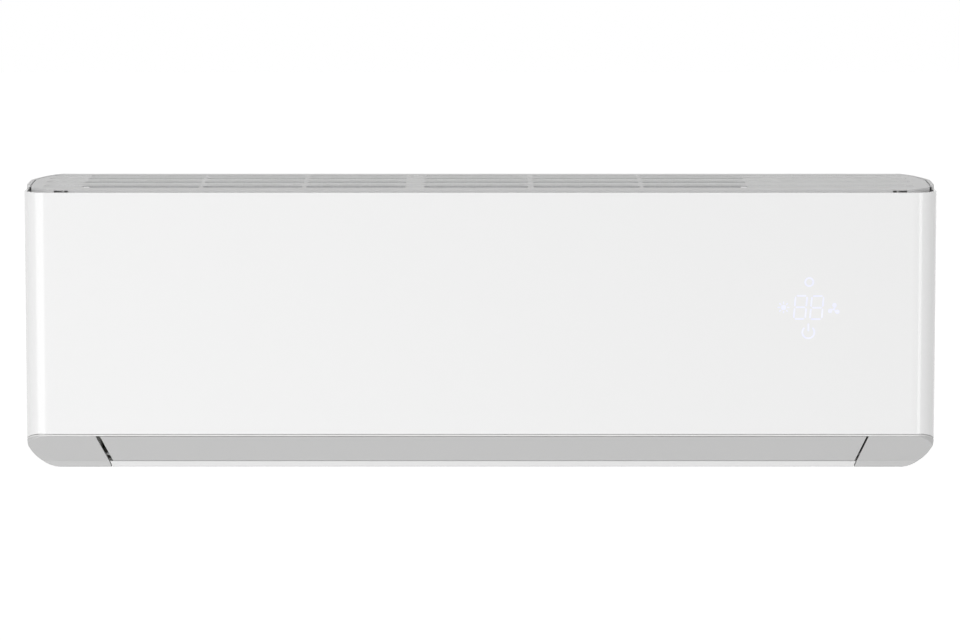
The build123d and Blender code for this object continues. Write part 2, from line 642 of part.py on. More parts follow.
with BuildPart() as rear_chassis:
    with BuildSketch(Plane.YZ.offset(END_WALL_X)):
        trace(scroll_line(), line_width=DUCT_WALL)
    extrude(amount=MOTOR_WALL_X + END_WALL_T - END_WALL_X)
    # The straight floor runs on to the far end of the outlet.
    with BuildSketch(Plane.YZ.offset(MOTOR_WALL_X)):
        Polygon(
            floor_point(3, 0), floor_point(FLOOR_LENGTH, 0), floor_point(FLOOR_LENGTH, -DUCT_WALL),
            floor_point(3, -DUCT_WALL), align=None,
        )
    extrude(amount=DUCT_X1 + DUCT_WALL - MOTOR_WALL_X)
    # Back wall with slots for the hooks of the wall plate.
    with BuildSketch(Plane.XZ.offset(-BACK_Y - BACK_T)):
        with Locations((0, sum(BACK_Z) / 2)):
            Rectangle(2 * CHASSIS_HALF, BACK_Z[1] - BACK_Z[0])
        with Locations(*[(x, HOOK_Z + 6) for x in HOOKS_X]):
            Rectangle(HOOK_W + 6, 22, mode=Mode.SUBTRACT)
    extrude(amount=BACK_T)
    # Trough under the rear bank, from the scroll's top back to the wall.
    with BuildSketch(Plane.YZ.offset(-CHASSIS_HALF)):
        Polygon(
            (SCROLL_TOP[0] + 12, TROUGH_Z), (BACK_Y + 1, TROUGH_Z),
            (BACK_Y + 1, TROUGH_Z - 2.5), (SCROLL_TOP[0] + 14, TROUGH_Z - 2.5), align=None,
        )
    extrude(amount=MOTOR_WALL_X + END_WALL_T + CHASSIS_HALF)
    for x in CHASSIS_RIBS_X:
        with BuildSketch(Plane.YZ.offset(x)):
            Polygon(
                (SCROLL_REAR[0] + 1, SCROLL_REAR[1]), (SCROLL_REAR[0] - 6, TROUGH_Z - 1),
                (BACK_Y + 1, TROUGH_Z - 1), (BACK_Y + 1, BACK_Z[0]), (SCROLL_REAR[0] - 5, -62), align=None,
            )
        extrude(amount=SKIN)
    # End walls of the fan chamber, and of the outlet below it.
    for x in (END_WALL_X, MOTOR_WALL_X):
        with BuildSketch(Plane.YZ.offset(x)):
            with Locations((FAN_Y, FAN_Z)):
                Circle(FAN_R + 3.2)
            low_s, tongue_s = (60, 64) if x < 0 else (82, 82)
            Polygon(
                floor_point(low_s, 0), floor_point(FLOOR_LENGTH - 1, -1), SCROLL_REAR,
                (FAN_Y, FAN_Z), floor_point(tongue_s, 45), align=None,
            )
            with Locations((FAN_Y, FAN_Z)):
                Circle(RING_R + RUN_FIT, mode=Mode.SUBTRACT)
            if x > 0:
                with Locations((FAN_Y, FAN_Z + 40)):
                    Rectangle(2 * (RING_R + RUN_FIT), 80, mode=Mode.SUBTRACT)
        extrude(amount=END_WALL_T)
    mouth = (
        floor_point(3, -1), floor_point(66, -1), floor_point(66, 48), floor_point(50, 55.5),
        floor_point(2, 55.5), floor_point(-3, 40),
    )
    for x in (END_WALL_X, DUCT_X1 - 1):
        with BuildSketch(Plane.YZ.offset(x)):
            Polygon(*mouth, align=None)
            Polygon(*axle_tab(), align=None)
            with Locations(LOUVER_AXIS):
                Circle(LOUVER_BUSH_R, mode=Mode.SUBTRACT)
            Polygon(*axle_entry(), align=None, mode=Mode.SUBTRACT)
        extrude(amount=END_WALL_T)
    with BuildSketch(floor_plane.offset(-1)):
        with BuildLine():
            splay = Line(*SPLAY_WALL)
        trace(splay, line_width=SKIN)
    extrude(amount=44)
    # Second cradle of the motor, on the floor behind the slanted wall.
    with BuildSketch(Plane.YZ.offset(CRADLE2_X)):
        Polygon(
            floor_point(64, -1), floor_point(FLOOR_LENGTH - 2, -1), (FAN_Y + 24, FAN_Z),
            (FAN_Y - 24, FAN_Z), align=None,
        )
        with Locations((FAN_Y, FAN_Z)):
            Circle(RING_R + RUN_FIT, mode=Mode.SUBTRACT)
    extrude(amount=END_WALL_T)
    with BuildSketch(floor_plane.offset(-VANE_BOSS_DEPTH)):
        with Locations(*[(VANE_X0 + i * VANE_PITCH, VANE_PIVOT_S) for i in range(VANES)]):
            Circle(VANE_BOSS_R)
    extrude(amount=VANE_BOSS_DEPTH - 0.5)
    with BuildSketch(floor_plane.offset(1)):
        with Locations(*[(VANE_X0 + i * VANE_PITCH, VANE_PIVOT_S) for i in range(VANES)]):
            Circle(PIVOT_R + RUN_FIT)
    extrude(amount=-6, mode=Mode.SUBTRACT)
save(rear_chassis, "rear_chassis")

# ---------------------------------------------------------------- drain pan, upper wall of the outlet
PAN_X = (-446.0, DUCT_X1 - 3)
PAN_FRONT_Y = -210.0
PAN_TOP_Z = -52.0
SPIGOT_Y, SPIGOT_Z = -193.0, -84.0
SPIGOT_R, SPIGOT_BORE_R = 9.0, 7.0
SPIGOT_LENGTH = 18.0
VANE_MOTOR_R = 11.0
VANE_MOTOR_H = 60.0      # its mounting face over the duct floor
trough_x1 = 322.0

with BuildPart() as drain_pan:
    with BuildSketch(Plane.YZ.offset(PAN_X[0])):
        Polygon(
            (-213, -118), TONGUE, (-165.5, PAN_TOP_Z), (PAN_FRONT_Y, PAN_TOP_Z), (PAN_FRONT_Y, -112),
            (-213, -114), align=None,
        )
    extrude(amount=PAN_X[1] - PAN_X[0])
    with BuildSketch(Plane.YZ.offset(PAN_X[0] + SKIN)):
        Polygon(
            (-169, PAN_TOP_Z + 1), (-158.5, -72.5), (-160, -78.5), (-207.5, -110),
            (-207.5, PAN_TOP_Z + 1), align=None,
        )
    extrude(amount=trough_x1 - PAN_X[0] - SKIN, mode=Mode.SUBTRACT)
    fillet(drain_pan.edges().filter_by(Axis.X).sort_by_distance((0, *TONGUE))[0], 1.8)
    for x, way in ((PAN_X[0], -1), (PAN_X[1], 1)):
        with BuildSketch(Plane.YZ.offset(x)):
            with Locations((SPIGOT_Y, SPIGOT_Z)):
                Circle(SPIGOT_R)
        extrude(amount=way * SPIGOT_LENGTH)
        bore_length = SPIGOT_LENGTH + (SKIN + 1 if way < 0 else PAN_X[1] - trough_x1 + 1)
        with BuildSketch(Plane.YZ.offset(x + way * SPIGOT_LENGTH)):
            with Locations((SPIGOT_Y, SPIGOT_Z)):
                Circle(SPIGOT_BORE_R)
        extrude(amount=-way * bore_length, mode=Mode.SUBTRACT)
    # Pocket for the vane motor, with a passage for its crank shaft.
    with BuildSketch(floor_plane.offset(VANE_MOTOR_H)):
        with Locations((CRANK_X, VANE_PIVOT_S)):
            Circle(VANE_MOTOR_R + 0.3)
    extrude(amount=60, mode=Mode.SUBTRACT)
    with BuildSketch(floor_plane.offset(40)):
        with Locations((CRANK_X, VANE_PIVOT_S)):
            Circle(5)
    extrude(amount=30, mode=Mode.SUBTRACT)
    for x in CASE_SCREWS_X:
        with BuildSketch(Plane.XZ.offset(-PAN_FRONT_Y + 3.2)):
            with Locations((x, CASE_SCREW_Z)):
                Circle(4)
        extrude(amount=-12)
        with BuildSketch(Plane.XZ.offset(-PAN_FRONT_Y + 4)):
            with Locations((x, CASE_SCREW_Z)):
                Circle(CASE_SCREW_R + RUN_FIT)
        extrude(amount=-11, mode=Mode.SUBTRACT)
save(drain_pan, "drain_pan")

with BuildPart() as drain_plug:
    with BuildSketch(Plane.YZ.offset(PAN_X[0] - SPIGOT_LENGTH + 12)):
        with Locations((SPIGOT_Y, SPIGOT_Z)):
            Circle(SPIGOT_BORE_R)
    extrude(amount=-12)
    with BuildSketch(Plane.YZ.offset(PAN_X[0] - SPIGOT_LENGTH)):
        with Locations((SPIGOT_Y, SPIGOT_Z)):
            Circle(SPIGOT_R + 1)
    extrude(amount=-2.5)
save(drain_plug, "drain_plug")

HEAD_R = 3.6
HEAD_T = 2.0
with BuildPart() as case_screws:
    for x in CASE_SCREWS_X:
        with BuildSketch(Plane.XZ.offset(-FRAME_Y[0])):
            with Locations((x, CASE_SCREW_Z)):
                Circle(HEAD_R)
        extrude(amount=HEAD_T)
        with BuildSketch(Plane.XZ.offset(-FRAME_Y[0])):
            with Locations((x, CASE_SCREW_Z)):
                Circle(CASE_SCREW_R)
        extrude(amount=-14)
        with BuildSketch(Plane.XZ.offset(-FRAME_Y[0] + HEAD_T)):
            with Locations((x, CASE_SCREW_Z)):
                Rectangle(4, 0.9)
                Rectangle(0.9, 4)
        extrude(amount=-1, mode=Mode.SUBTRACT)
save(case_screws, "case_screws")

# ---------------------------------------------------------------- louver supports
STAY_EYE_R = 3.3
STAY_T = 2 * STAY_HALF - 1.0
with BuildPart() as louver_bearings:
    with BuildSketch(Plane.YZ.offset(END_WALL_X)):
        with Locations(LOUVER_AXIS):
            Circle(LOUVER_BUSH_R)
            Circle(LOUVER_PIN_R + RUN_FIT, mode=Mode.SUBTRACT)
    extrude(amount=END_WALL_T)
    with BuildSketch(Plane.YZ.offset(-STAY_T / 2)):
        with Locations(LOUVER_AXIS):
            Circle(STAY_EYE_R)
        Polygon(
            (LOUVER_AXIS[0] + 0.4, LOUVER_AXIS[1] + 3.2), (LOUVER_AXIS[0] - 3.2, LOUVER_AXIS[1] + 0.6),
            floor_point(-1, 57.6), floor_point(8, 57.2), align=None,
        )
        with Locations(LOUVER_AXIS):
            Circle(LOUVER_PIN_R + RUN_FIT, mode=Mode.SUBTRACT)
    extrude(amount=STAY_T)
save(louver_bearings, "louver_bearings")

LOUVER_MOTOR_R = 11.0
LOUVER_MOTOR_X = DUCT_X1 + END_WALL_T - 1
LOUVER_MOTOR_W = 18.0
motor_centre = Vector(0, *LOUVER_AXIS) + Vector(0, -band_dir.Z, band_dir.Y) * 8.5
with BuildPart() as louver_motor:
    # The shaft sits off the body's centre, as in small geared stepper motors.
    with BuildSketch(Plane.YZ.offset(LOUVER_MOTOR_X)):
        with Locations((motor_centre.Y, motor_centre.Z)):
            Circle(LOUVER_MOTOR_R)
    extrude(amount=LOUVER_MOTOR_W)
    with BuildSketch(Plane.YZ.offset(LOUVER_MOTOR_X)):
        with Locations((motor_centre.Y + 2, motor_centre.Z + 14)):
            Rectangle(12, 12)
    extrude(amount=14)
    with BuildSketch(Plane.YZ.offset(LOUVER_MOTOR_X - 1)):
        with Locations(LOUVER_AXIS):
            Circle(LOUVER_PIN_R + RUN_FIT)
    extrude(amount=10, mode=Mode.SUBTRACT)
save(louver_motor, "louver_motor")

# ---------------------------------------------------------------- swing vanes
VANE_LOW_H = 1.0
BAR_H = 47.0
BAR_T = 2.0
BAR_W = 7.0
vane_outline = ((31, VANE_LOW_H), (74, VANE_LOW_H), (74, 24), (62, VANE_TOP_H), (31, VANE_TOP_H))
link_s = VANE_PIVOT_S - VANE_ARM

for i in range(VANES):
    vane_x = VANE_X0 + i * VANE_PITCH
    with BuildPart() as vane:
        with BuildSketch(vane_plane(vane_x - VANE_T / 2)) as outline:
            Polygon(*vane_outline, align=None)
            fillet(outline.vertices(), 2)
        extrude(amount=VANE_T)
        with BuildSketch(floor_plane.offset(-5)):
            with Locations((vane_x, VANE_PIVOT_S)):
                Circle(PIVOT_R)
        extrude(amount=VANE_LOW_H + 12)
        with BuildSketch(floor_plane.offset(VANE_LOW_H)):
            with Locations((vane_x, VANE_PIVOT_S)):
                Circle(PIVOT_R + 1.2)
        extrude(amount=9)
        with BuildSketch(floor_plane.offset(VANE_TOP_H - 8)):
            with Locations((vane_x, link_s)):
                Circle(PIN_R)
        extrude(amount=BAR_H + BAR_T + 1 - VANE_TOP_H + 8)
        with BuildSketch(floor_plane.offset(VANE_TOP_H - 8)):
            with Locations((vane_x, link_s)):
                Circle(PIN_R + 1)
        extrude(amount=8)
    save(vane, f"vane_{i + 1}")

with BuildPart() as link_bar:
    with BuildSketch(floor_plane.offset(BAR_H)):
        with Locations(((VANE_X0 + CRANK_X) / 2, link_s)):
            SlotCenterToCenter(CRANK_X - VANE_X0, BAR_W)
        with Locations(*[(VANE_X0 + i * VANE_PITCH, link_s) for i in range(VANES + 1)]):
            Circle(PIN_R + RUN_FIT, mode=Mode.SUBTRACT)
    extrude(amount=BAR_T)
save(link_bar, "link_bar")

CRANK_H = 51.0
with BuildPart() as vane_crank:
    with BuildSketch(floor_plane.offset(CRANK_H)):
        with Locations((CRANK_X, (VANE_PIVOT_S + link_s) / 2)):
            SlotCenterToCenter(VANE_ARM, BAR_W, rotation=90)
    extrude(amount=BAR_T)
    with BuildSketch(floor_plane.offset(BAR_H - 1)):
        with Locations((CRANK_X, link_s)):
            Circle(PIN_R)
    extrude(amount=CRANK_H - BAR_H + 2)
    with BuildSketch(floor_plane.offset(CRANK_H)):
        with Locations((CRANK_X, VANE_PIVOT_S)):
            Circle(PIVOT_R + 0.5)
    extrude(amount=VANE_MOTOR_H + 8 - CRANK_H)
save(vane_crank, "vane_crank")

with BuildPart() as vane_motor:
    with BuildSketch(floor_plane.offset(VANE_MOTOR_H)):
        with Locations((CRANK_X, VANE_PIVOT_S)):
            Circle(VANE_MOTOR_R)
    extrude(amount=16)
    with BuildSketch(floor_plane.offset(VANE_MOTOR_H - 1)):
        with Locations((CRANK_X, VANE_PIVOT_S)):
            Circle(PIVOT_R + 0.5 + RUN_FIT)
    extrude(amount=10, mode=Mode.SUBTRACT)
save(vane_motor, "vane_motor")

# ---------------------------------------------------------------- cross-flow fan and its shaft
BLADE_IN_R = 37.0
BLADE_OUT_R = 48.3
BLADE_T = 1.3
DISC_T = 2.5
fan_plane = Plane((FAN_X0, FAN_Y, FAN_Z), x_dir=(0, 1, 0), z_dir=(1, 0, 0))
fan_length = FAN_X1 - FAN_X0

with BuildPart() as fan_wheel:
    with BuildSketch(fan_plane):
        with BuildLine():
            outer_arc = ThreePointArc((BLADE_IN_R, 0), (BLADE_IN_R + 5, 2.6), (BLADE_OUT_R, 8.0))
            inner_arc = ThreePointArc(
                (BLADE_IN_R, BLADE_T), (BLADE_IN_R + 4.6, 2.6 + BLADE_T), (BLADE_OUT_R - 1.1, 8.4)
            )
            Line(outer_arc @ 0, inner_arc @ 0)
            Line(outer_arc @ 1, inner_arc @ 1)
        blade_face = make_face(mode=Mode.PRIVATE)
        with PolarLocations(0, FAN_BLADES):
            add(blade_face)
    extrude(amount=fan_length)
    for i in range(FAN_DISCS):
        end_disc = i in (0, FAN_DISCS - 1)
        with BuildSketch(fan_plane.offset(i * (fan_length - DISC_T) / (FAN_DISCS - 1))):
            Circle(FAN_R)
            Circle(SHAFT_R + 0.02 if end_disc else BLADE_IN_R - 2, mode=Mode.SUBTRACT)
        extrude(amount=DISC_T)
save(fan_wheel, "fan_wheel")

with BuildPart() as fan_shaft:
    with BuildSketch(Plane.YZ.offset(FAN_X0 - 22)):
        with Locations((FAN_Y, FAN_Z)):
            Circle(SHAFT_R)
    extrude(amount=22 + DISC_T)
    with BuildSketch(Plane.YZ.offset(FAN_X0 + DISC_T)):
        with Locations((FAN_Y, FAN_Z)):
            Circle(SHAFT_R + 6)
    extrude(amount=10)
    with BuildSketch(Plane.YZ.offset(FAN_X1 - DISC_T)):
        with Locations((FAN_Y, FAN_Z)):
            Circle(SHAFT_R)
    extrude(amount=MOTOR_X0 + 40 - FAN_X1 + DISC_T)
    with BuildSketch(Plane.YZ.offset(FAN_X1 - DISC_T)):
        with Locations((FAN_Y, FAN_Z)):
            Circle(SHAFT_R + 6)
    extrude(amount=-14)
save(fan_shaft, "fan_shaft")

with BuildPart() as fan_bearing:
    with BuildSketch(Plane.YZ.offset(END_WALL_X - 6)):
        with Locations((FAN_Y, FAN_Z)):
            Circle(RING_R)
            Circle(SHAFT_R + RUN_FIT, mode=Mode.SUBTRACT)
    extrude(amount=END_WALL_T + 6)
    with BuildSketch(Plane.YZ.offset(END_WALL_X - 6)):
        with Locations((FAN_Y, FAN_Z)):
            Circle(RING_R + 3)
            Circle(SHAFT_R + RUN_FIT, mode=Mode.SUBTRACT)
    extrude(amount=6)
save(fan_bearing, "fan_bearing")

# ---------------------------------------------------------------- fan motor, rings and clamp
RINGS_X = (MOTOR_WALL_X - 1, CRADLE2_X - 1)
with BuildPart() as fan_motor:
    with BuildSketch(Plane.YZ.offset(MOTOR_X0)):
        with Locations((FAN_Y, FAN_Z)):
            Circle(MOTOR_R)
    extrude(amount=MOTOR_X1 - MOTOR_X0)
    fillet(fan_motor.edges().filter_by(GeomType.CIRCLE), 5)
    for x0, x1 in ((RINGS_X[0], MOTOR_X0 + 1), (MOTOR_X1 - 1, RINGS_X[1] + RING_W)):
        with BuildSketch(Plane.YZ.offset(x0)):
            with Locations((FAN_Y, FAN_Z)):
                Circle(BOSS_R)
        extrude(amount=x1 - x0)
    with BuildSketch(Plane.YZ.offset(RINGS_X[0] - 1)):
        with Locations((FAN_Y, FAN_Z)):
            Circle(SHAFT_R + RUN_FIT)
    extrude(amount=MOTOR_X0 + 42 - RINGS_X[0] + 1, mode=Mode.SUBTRACT)
save(fan_motor, "fan_motor")

with BuildPart() as motor_rings:
    for x in RINGS_X:
        with BuildSketch(Plane.YZ.offset(x)):
            with Locations((FAN_Y, FAN_Z)):
                Circle(RING_R)
                Circle(BOSS_R, mode=Mode.SUBTRACT)
        extrude(amount=RING_W)
save(motor_rings, "motor_rings")

STRAP_Z = FAN_Z + MOTOR_R + 3
STRAP_HALF = RING_R - 0.2
with BuildPart() as motor_clamp:
    for x in (MOTOR_WALL_X, CRADLE2_X):
        with BuildSketch(Plane.YZ.offset(x)):
            with Locations((FAN_Y, (FAN_Z + 0.5 + STRAP_Z + 3) / 2)):
                Rectangle(2 * STRAP_HALF, STRAP_Z + 3 - FAN_Z - 0.5)
            with Locations((FAN_Y, FAN_Z)):
                Circle(RING_R + RUN_FIT, mode=Mode.SUBTRACT)
        extrude(amount=END_WALL_T)
    with BuildSketch(Plane.XY.offset(STRAP_Z)):
        with Locations(((MOTOR_WALL_X + CRADLE2_X + END_WALL_T) / 2, FAN_Y)):
            Rectangle(CRADLE2_X + END_WALL_T - MOTOR_WALL_X, 2 * STRAP_HALF)
    extrude(amount=3)
save(motor_clamp, "motor_clamp")

# ---------------------------------------------------------------- evaporator
# Each bank is a stack of fins on two rows of tubes; (start, end) of its middle line in (Y, Z).
# The fins are coarser than real ones and the tubes inside them six-sided, to keep the solids light.
BANKS = {
    "coil_front": ((-185.0, -74.0), (-185.0, 20.0)),
    "coil_upper": ((-184.0, 38.0), (-116.0, 112.0)),
    "coil_rear": ((-40.0, 26.0), (-92.0, 98.0)),
}
END_PLATE_T = 1.2
PLATE_RIM = 1.5
FIN_T = 2.0
FIN_STEP = 20.0


def bank_plane(name, x):
    """Plane square to X at a bank's start: local x runs along the bank, local y across it."""
    start, end = BANKS[name]
    length = math.dist(start, end)
    along = (0, (end[0] - start[0]) / length, (end[1] - start[1]) / length)
    return Plane((x, *start), x_dir=along, z_dir=(1, 0, 0)), length


fins_x = [COIL_X0 + i * FIN_STEP for i in range(int((COIL_X1 - COIL_X0) // FIN_STEP))]
for name in BANKS:
    plane, length = bank_plane(name, COIL_X0)
    tubes = int((length - TUBE_PITCH / 2) // TUBE_PITCH)
    with BuildPart() as bank:
        for x in (*fins_x, COIL_X1 - FIN_T):
            with BuildSketch(bank_plane(name, x)[0]):
                with Locations((length / 2, 0)):
                    Rectangle(length, COIL_T)
            extrude(amount=FIN_T)
        with BuildSketch(plane):
            for row in (-ROW_PITCH / 2, ROW_PITCH / 2):
                with Locations(*[(TUBE_PITCH * (i + 1), row) for i in range(tubes)]):
                    RegularPolygon(TUBE_R, 6)
        extrude(amount=COIL_X1 - COIL_X0)
    save(bank, name)

with BuildPart() as coil_end_plates:
    for name in BANKS:
        for x in (COIL_X0 - END_PLATE_T, COIL_X1):
            plane, length = bank_plane(name, x)
            with BuildSketch(plane):
                with Locations((length / 2, 0)):
                    Rectangle(length + 2 * PLATE_RIM, COIL_T + 2 * PLATE_RIM)
            extrude(amount=END_PLATE_T)
save(coil_end_plates, "coil_end_plates")

with BuildPart() as return_bends:
    for name in BANKS:
        for x, way in ((COIL_X0 - END_PLATE_T, -1), (COIL_X1 + END_PLATE_T, 1)):
            plane, length = bank_plane(name, x)
            first = TUBE_PITCH if way < 0 else 2 * TUBE_PITCH
            count = int((length - first + TUBE_PITCH / 2) // (2 * TUBE_PITCH))
            for row in (-ROW_PITCH / 2, ROW_PITCH / 2):
                for i in range(count):
                    middle = plane.from_local_coords((first + 2 * i * TUBE_PITCH, row, 0))
                    with BuildSketch(Plane(middle, x_dir=plane.x_dir, z_dir=(1, 0, 0))):
                        with Locations((TUBE_PITCH / 2, 0)):
                            Circle(TUBE_R)
                    revolve(axis=Axis(middle, plane.y_dir * way), revolution_arc=-180)
save(return_bends, "return_bends")

with BuildPart() as coil_sensor:
    sensor_plane = Plane((COIL_X1 + END_PLATE_T + 3.5, -201, -30), x_dir=(0, 1, 0), z_dir=(0, 0, 1))
    with BuildSketch(sensor_plane):
        Circle(2.6)
    extrude(amount=26)
    with BuildSketch(sensor_plane.offset(8)):
        Circle(3.4)
        Circle(2.6, mode=Mode.SUBTRACT)
    extrude(amount=10)
save(coil_sensor, "coil_sensor")

# ---------------------------------------------------------------- refrigerant pipes
GAS_R, LIQUID_R = 6.35, 3.175
GAS_END_X, LIQUID_END_X = -60.0, -110.0
GAS_RUN_Z, LIQUID_RUN_Z = -128.0, -108.0
PIPE_RUN_Y = -30.0
pipe_start_x = COIL_X1 + END_PLATE_T


def pipe(points, bend_r, tube_r):
    """Bent tube through corner points."""
    with BuildPart() as tube:
        with BuildLine() as route:
            FilletPolyline(*points, radius=bend_r)
        with BuildSketch(route.line ^ 0):
            Circle(tube_r)
        sweep()
    return tube


gas_pipe = pipe(
    (
        (pipe_start_x, -84, 88), (320, -84, 88), (320, PIPE_RUN_Y, 10), (320, PIPE_RUN_Y, GAS_RUN_Z),
        (GAS_END_X, PIPE_RUN_Y, GAS_RUN_Z),
    ),
    16, GAS_R,
)
save(gas_pipe, "gas_pipe")
liquid_pipe = pipe(
    (
        (pipe_start_x, -46, 34), (304, -46, 34), (304, PIPE_RUN_Y, -10), (304, PIPE_RUN_Y, LIQUID_RUN_Z),
        (LIQUID_END_X, PIPE_RUN_Y, LIQUID_RUN_Z),
    ),
    12, LIQUID_R,
)
save(liquid_pipe, "liquid_pipe")

GAS_THREAD_R, LIQUID_THREAD_R = 9.525, 5.556     # 3/4 inch and 7/16 inch flare threads
GAS_THREAD_L, LIQUID_THREAD_L = 18.0, 14.0
with BuildPart() as flare_unions:
    for end_x, z, thread_r, thread_l, hex_r in (
        (GAS_END_X, GAS_RUN_Z, GAS_THREAD_R, GAS_THREAD_L, 11.0),
        (LIQUID_END_X, LIQUID_RUN_Z, LIQUID_THREAD_R, LIQUID_THREAD_L, 7.0),
    ):
        with BuildSketch(Plane.YZ.offset(end_x)):
            with Locations((PIPE_RUN_Y, z)):
                RegularPolygon(hex_r, 6, major_radius=False)
        extrude(amount=-9)
        with BuildSketch(Plane.YZ.offset(end_x - 9)):
            with Locations((PIPE_RUN_Y, z)):
                Circle(thread_r)
        extrude(amount=-thread_l)
save(flare_unions, "flare_unions")

CLAMP_X = (150.0, 176.0)
with BuildPart() as pipe_clamp:
    with BuildSketch(Plane.YZ.offset(CLAMP_X[0])):
        with Locations((PIPE_RUN_Y + 1, (GAS_RUN_Z + LIQUID_RUN_Z) / 2)):
            Rectangle(18, 46)
        with Locations((PIPE_RUN_Y, GAS_RUN_Z)):
            Circle(GAS_R + RUN_FIT, mode=Mode.SUBTRACT)
        with Locations((PIPE_RUN_Y, LIQUID_RUN_Z)):
            Circle(LIQUID_R + RUN_FIT, mode=Mode.SUBTRACT)
    extrude(amount=CLAMP_X[1] - CLAMP_X[0])
save(pipe_clamp, "pipe_clamp")

# ---------------------------------------------------------------- filters
FILTER_Y = -208.2
FILTER_LOW_Z = -50.0
FILTER_BEND_R = 55.0
FILTER_TOP_Z = 127.2
FILTER_REAR_Y = -58.0
FILTER_T = 2.4
MESH_T = 0.6
FILTER_BAR = 4.0
FILTER_BAYS = 6


def filter_line(start_z, end_y):
    """Path of a filter: up behind the frame, round the top corner and back under the grille."""
    with BuildLine() as line:
        up = Line((FILTER_Y, start_z), (FILTER_Y, FILTER_TOP_Z - FILTER_BEND_R))
        bend = TangentArc(up @ 1, (FILTER_Y + FILTER_BEND_R, FILTER_TOP_Z), tangent=up % 1)
        Line(bend @ 1, (end_y, FILTER_TOP_Z))
    return line.line


for name, (x0, x1) in zip(("filter_left", "filter_right"), ((-424, -74), (-68, 282))):
    bay = (x1 - x0 - FILTER_BAR) / FILTER_BAYS
    with BuildPart() as screen:
        with BuildSketch(Plane.YZ.offset(x0)):
            trace(filter_line(FILTER_LOW_Z, FILTER_REAR_Y), line_width=MESH_T)
        extrude(amount=x1 - x0)
        for i in range(FILTER_BAYS + 1):
            with BuildSketch(Plane.YZ.offset(x0 + i * bay)):
                trace(filter_line(FILTER_LOW_Z, FILTER_REAR_Y), line_width=FILTER_T)
            extrude(amount=FILTER_BAR)
        for z in (FILTER_LOW_Z, -12, 42):
            with BuildSketch(Plane.YZ.offset(x0)):
                with Locations((FILTER_Y, z + FILTER_BAR / 2)):
                    Rectangle(FILTER_T, FILTER_BAR)
            extrude(amount=x1 - x0)
        for y in (FILTER_REAR_Y - FILTER_BAR, -110):
            with BuildSketch(Plane.YZ.offset(x0)):
                with Locations((y + FILTER_BAR / 2, FILTER_TOP_Z)):
                    Rectangle(FILTER_BAR, FILTER_T)
            extrude(amount=x1 - x0)
    save(screen, name)

# ---------------------------------------------------------------- electrical box
BOX_X = (334.0, 452.0)
BOX_Y = (-172.0, -66.0)
BOX_Z = (16.0, 112.0)
BOX_WALL = 2.0
box_mid = (sum(BOX_X) / 2, sum(BOX_Z) / 2)
box_size = (BOX_X[1] - BOX_X[0], BOX_Z[1] - BOX_Z[0])

with BuildPart() as electrical_box:
    with BuildSketch(Plane.XZ.offset(-BOX_Y[1])):
        with Locations(box_mid):
            Rectangle(*box_size)
    extrude(amount=BOX_Y[1] - BOX_Y[0])
    with BuildSketch(Plane.XZ.offset(-BOX_Y[1] + BOX_WALL)):
        with Locations(box_mid):
            Rectangle(box_size[0] - 2 * BOX_WALL, box_size[1] - 2 * BOX_WALL)
    extrude(amount=BOX_Y[1] - BOX_Y[0], mode=Mode.SUBTRACT)
save(electrical_box, "electrical_box")

with BuildPart() as box_cover:
    with BuildSketch(Plane.XZ.offset(-BOX_Y[0] + 0.2)):
        with Locations(box_mid):
            RectangleRounded(box_size[0], box_size[1], 3)
    extrude(amount=1.6)
    for i in range(8):
        with BuildSketch(Plane.XZ.offset(-BOX_Y[0])):
            with Locations((box_mid[0] - 35 + i * 10, box_mid[1] + 25)):
                SlotOverall(24, 3, rotation=90)
        extrude(amount=5, mode=Mode.SUBTRACT)
save(box_cover, "box_cover")

BOARD_Y = -84.0
BOARD_T = 1.6
with BuildPart() as control_board:
    with BuildSketch(Plane.XZ.offset(-BOARD_Y)):
        with Locations(box_mid):
            Rectangle(box_size[0] - 8, box_size[1] - 8)
    extrude(amount=BOARD_T)
    parts_on_board = (
        (-36, 24, 22, 18, 20), (-36, -6, 28, 16, 16), (-4, 24, 14, 26, 12), (24, 22, 20, 20, 8),
        (20, -14, 30, 18, 14), (-40, -28, 16, 8, 10), (-12, -26, 18, 8, 10), (36, 4, 10, 8, 6),
    )
    for dx, dz, w, h, tall in parts_on_board:
        with BuildSketch(Plane.XZ.offset(-BOARD_Y + BOARD_T - 0.2)):
            with Locations((box_mid[0] + dx, box_mid[1] + dz)):
                Rectangle(w, h)
        extrude(amount=tall)
    with BuildSketch(Plane.XZ.offset(-BOARD_Y + BOARD_T - 0.2)):
        with Locations((box_mid[0] - 6, box_mid[1] - 4)):
            Circle(8)
        with Locations((box_mid[0] + 42, box_mid[1] - 34)):
            Circle(5)
    extrude(amount=26)
save(control_board, "control_board")

TERMINAL_X = (404.0, 450.0)
TERMINAL_Z = (34.0, 52.0)
with BuildPart() as terminal_block:
    with BuildSketch(Plane.XZ.offset(-BOX_Y[0] + 2.2)):
        with Locations((sum(TERMINAL_X) / 2, sum(TERMINAL_Z) / 2)):
            Rectangle(TERMINAL_X[1] - TERMINAL_X[0], TERMINAL_Z[1] - TERMINAL_Z[0])
    extrude(amount=14)
    for i in range(4):
        with BuildSketch(Plane.XZ.offset(-BOX_Y[0] + 16.2)):
            with Locations((TERMINAL_X[0] + 7 + i * 10.7, sum(TERMINAL_Z) / 2)):
                Circle(3)
        extrude(amount=-3, mode=Mode.SUBTRACT)
save(terminal_block, "terminal_block")

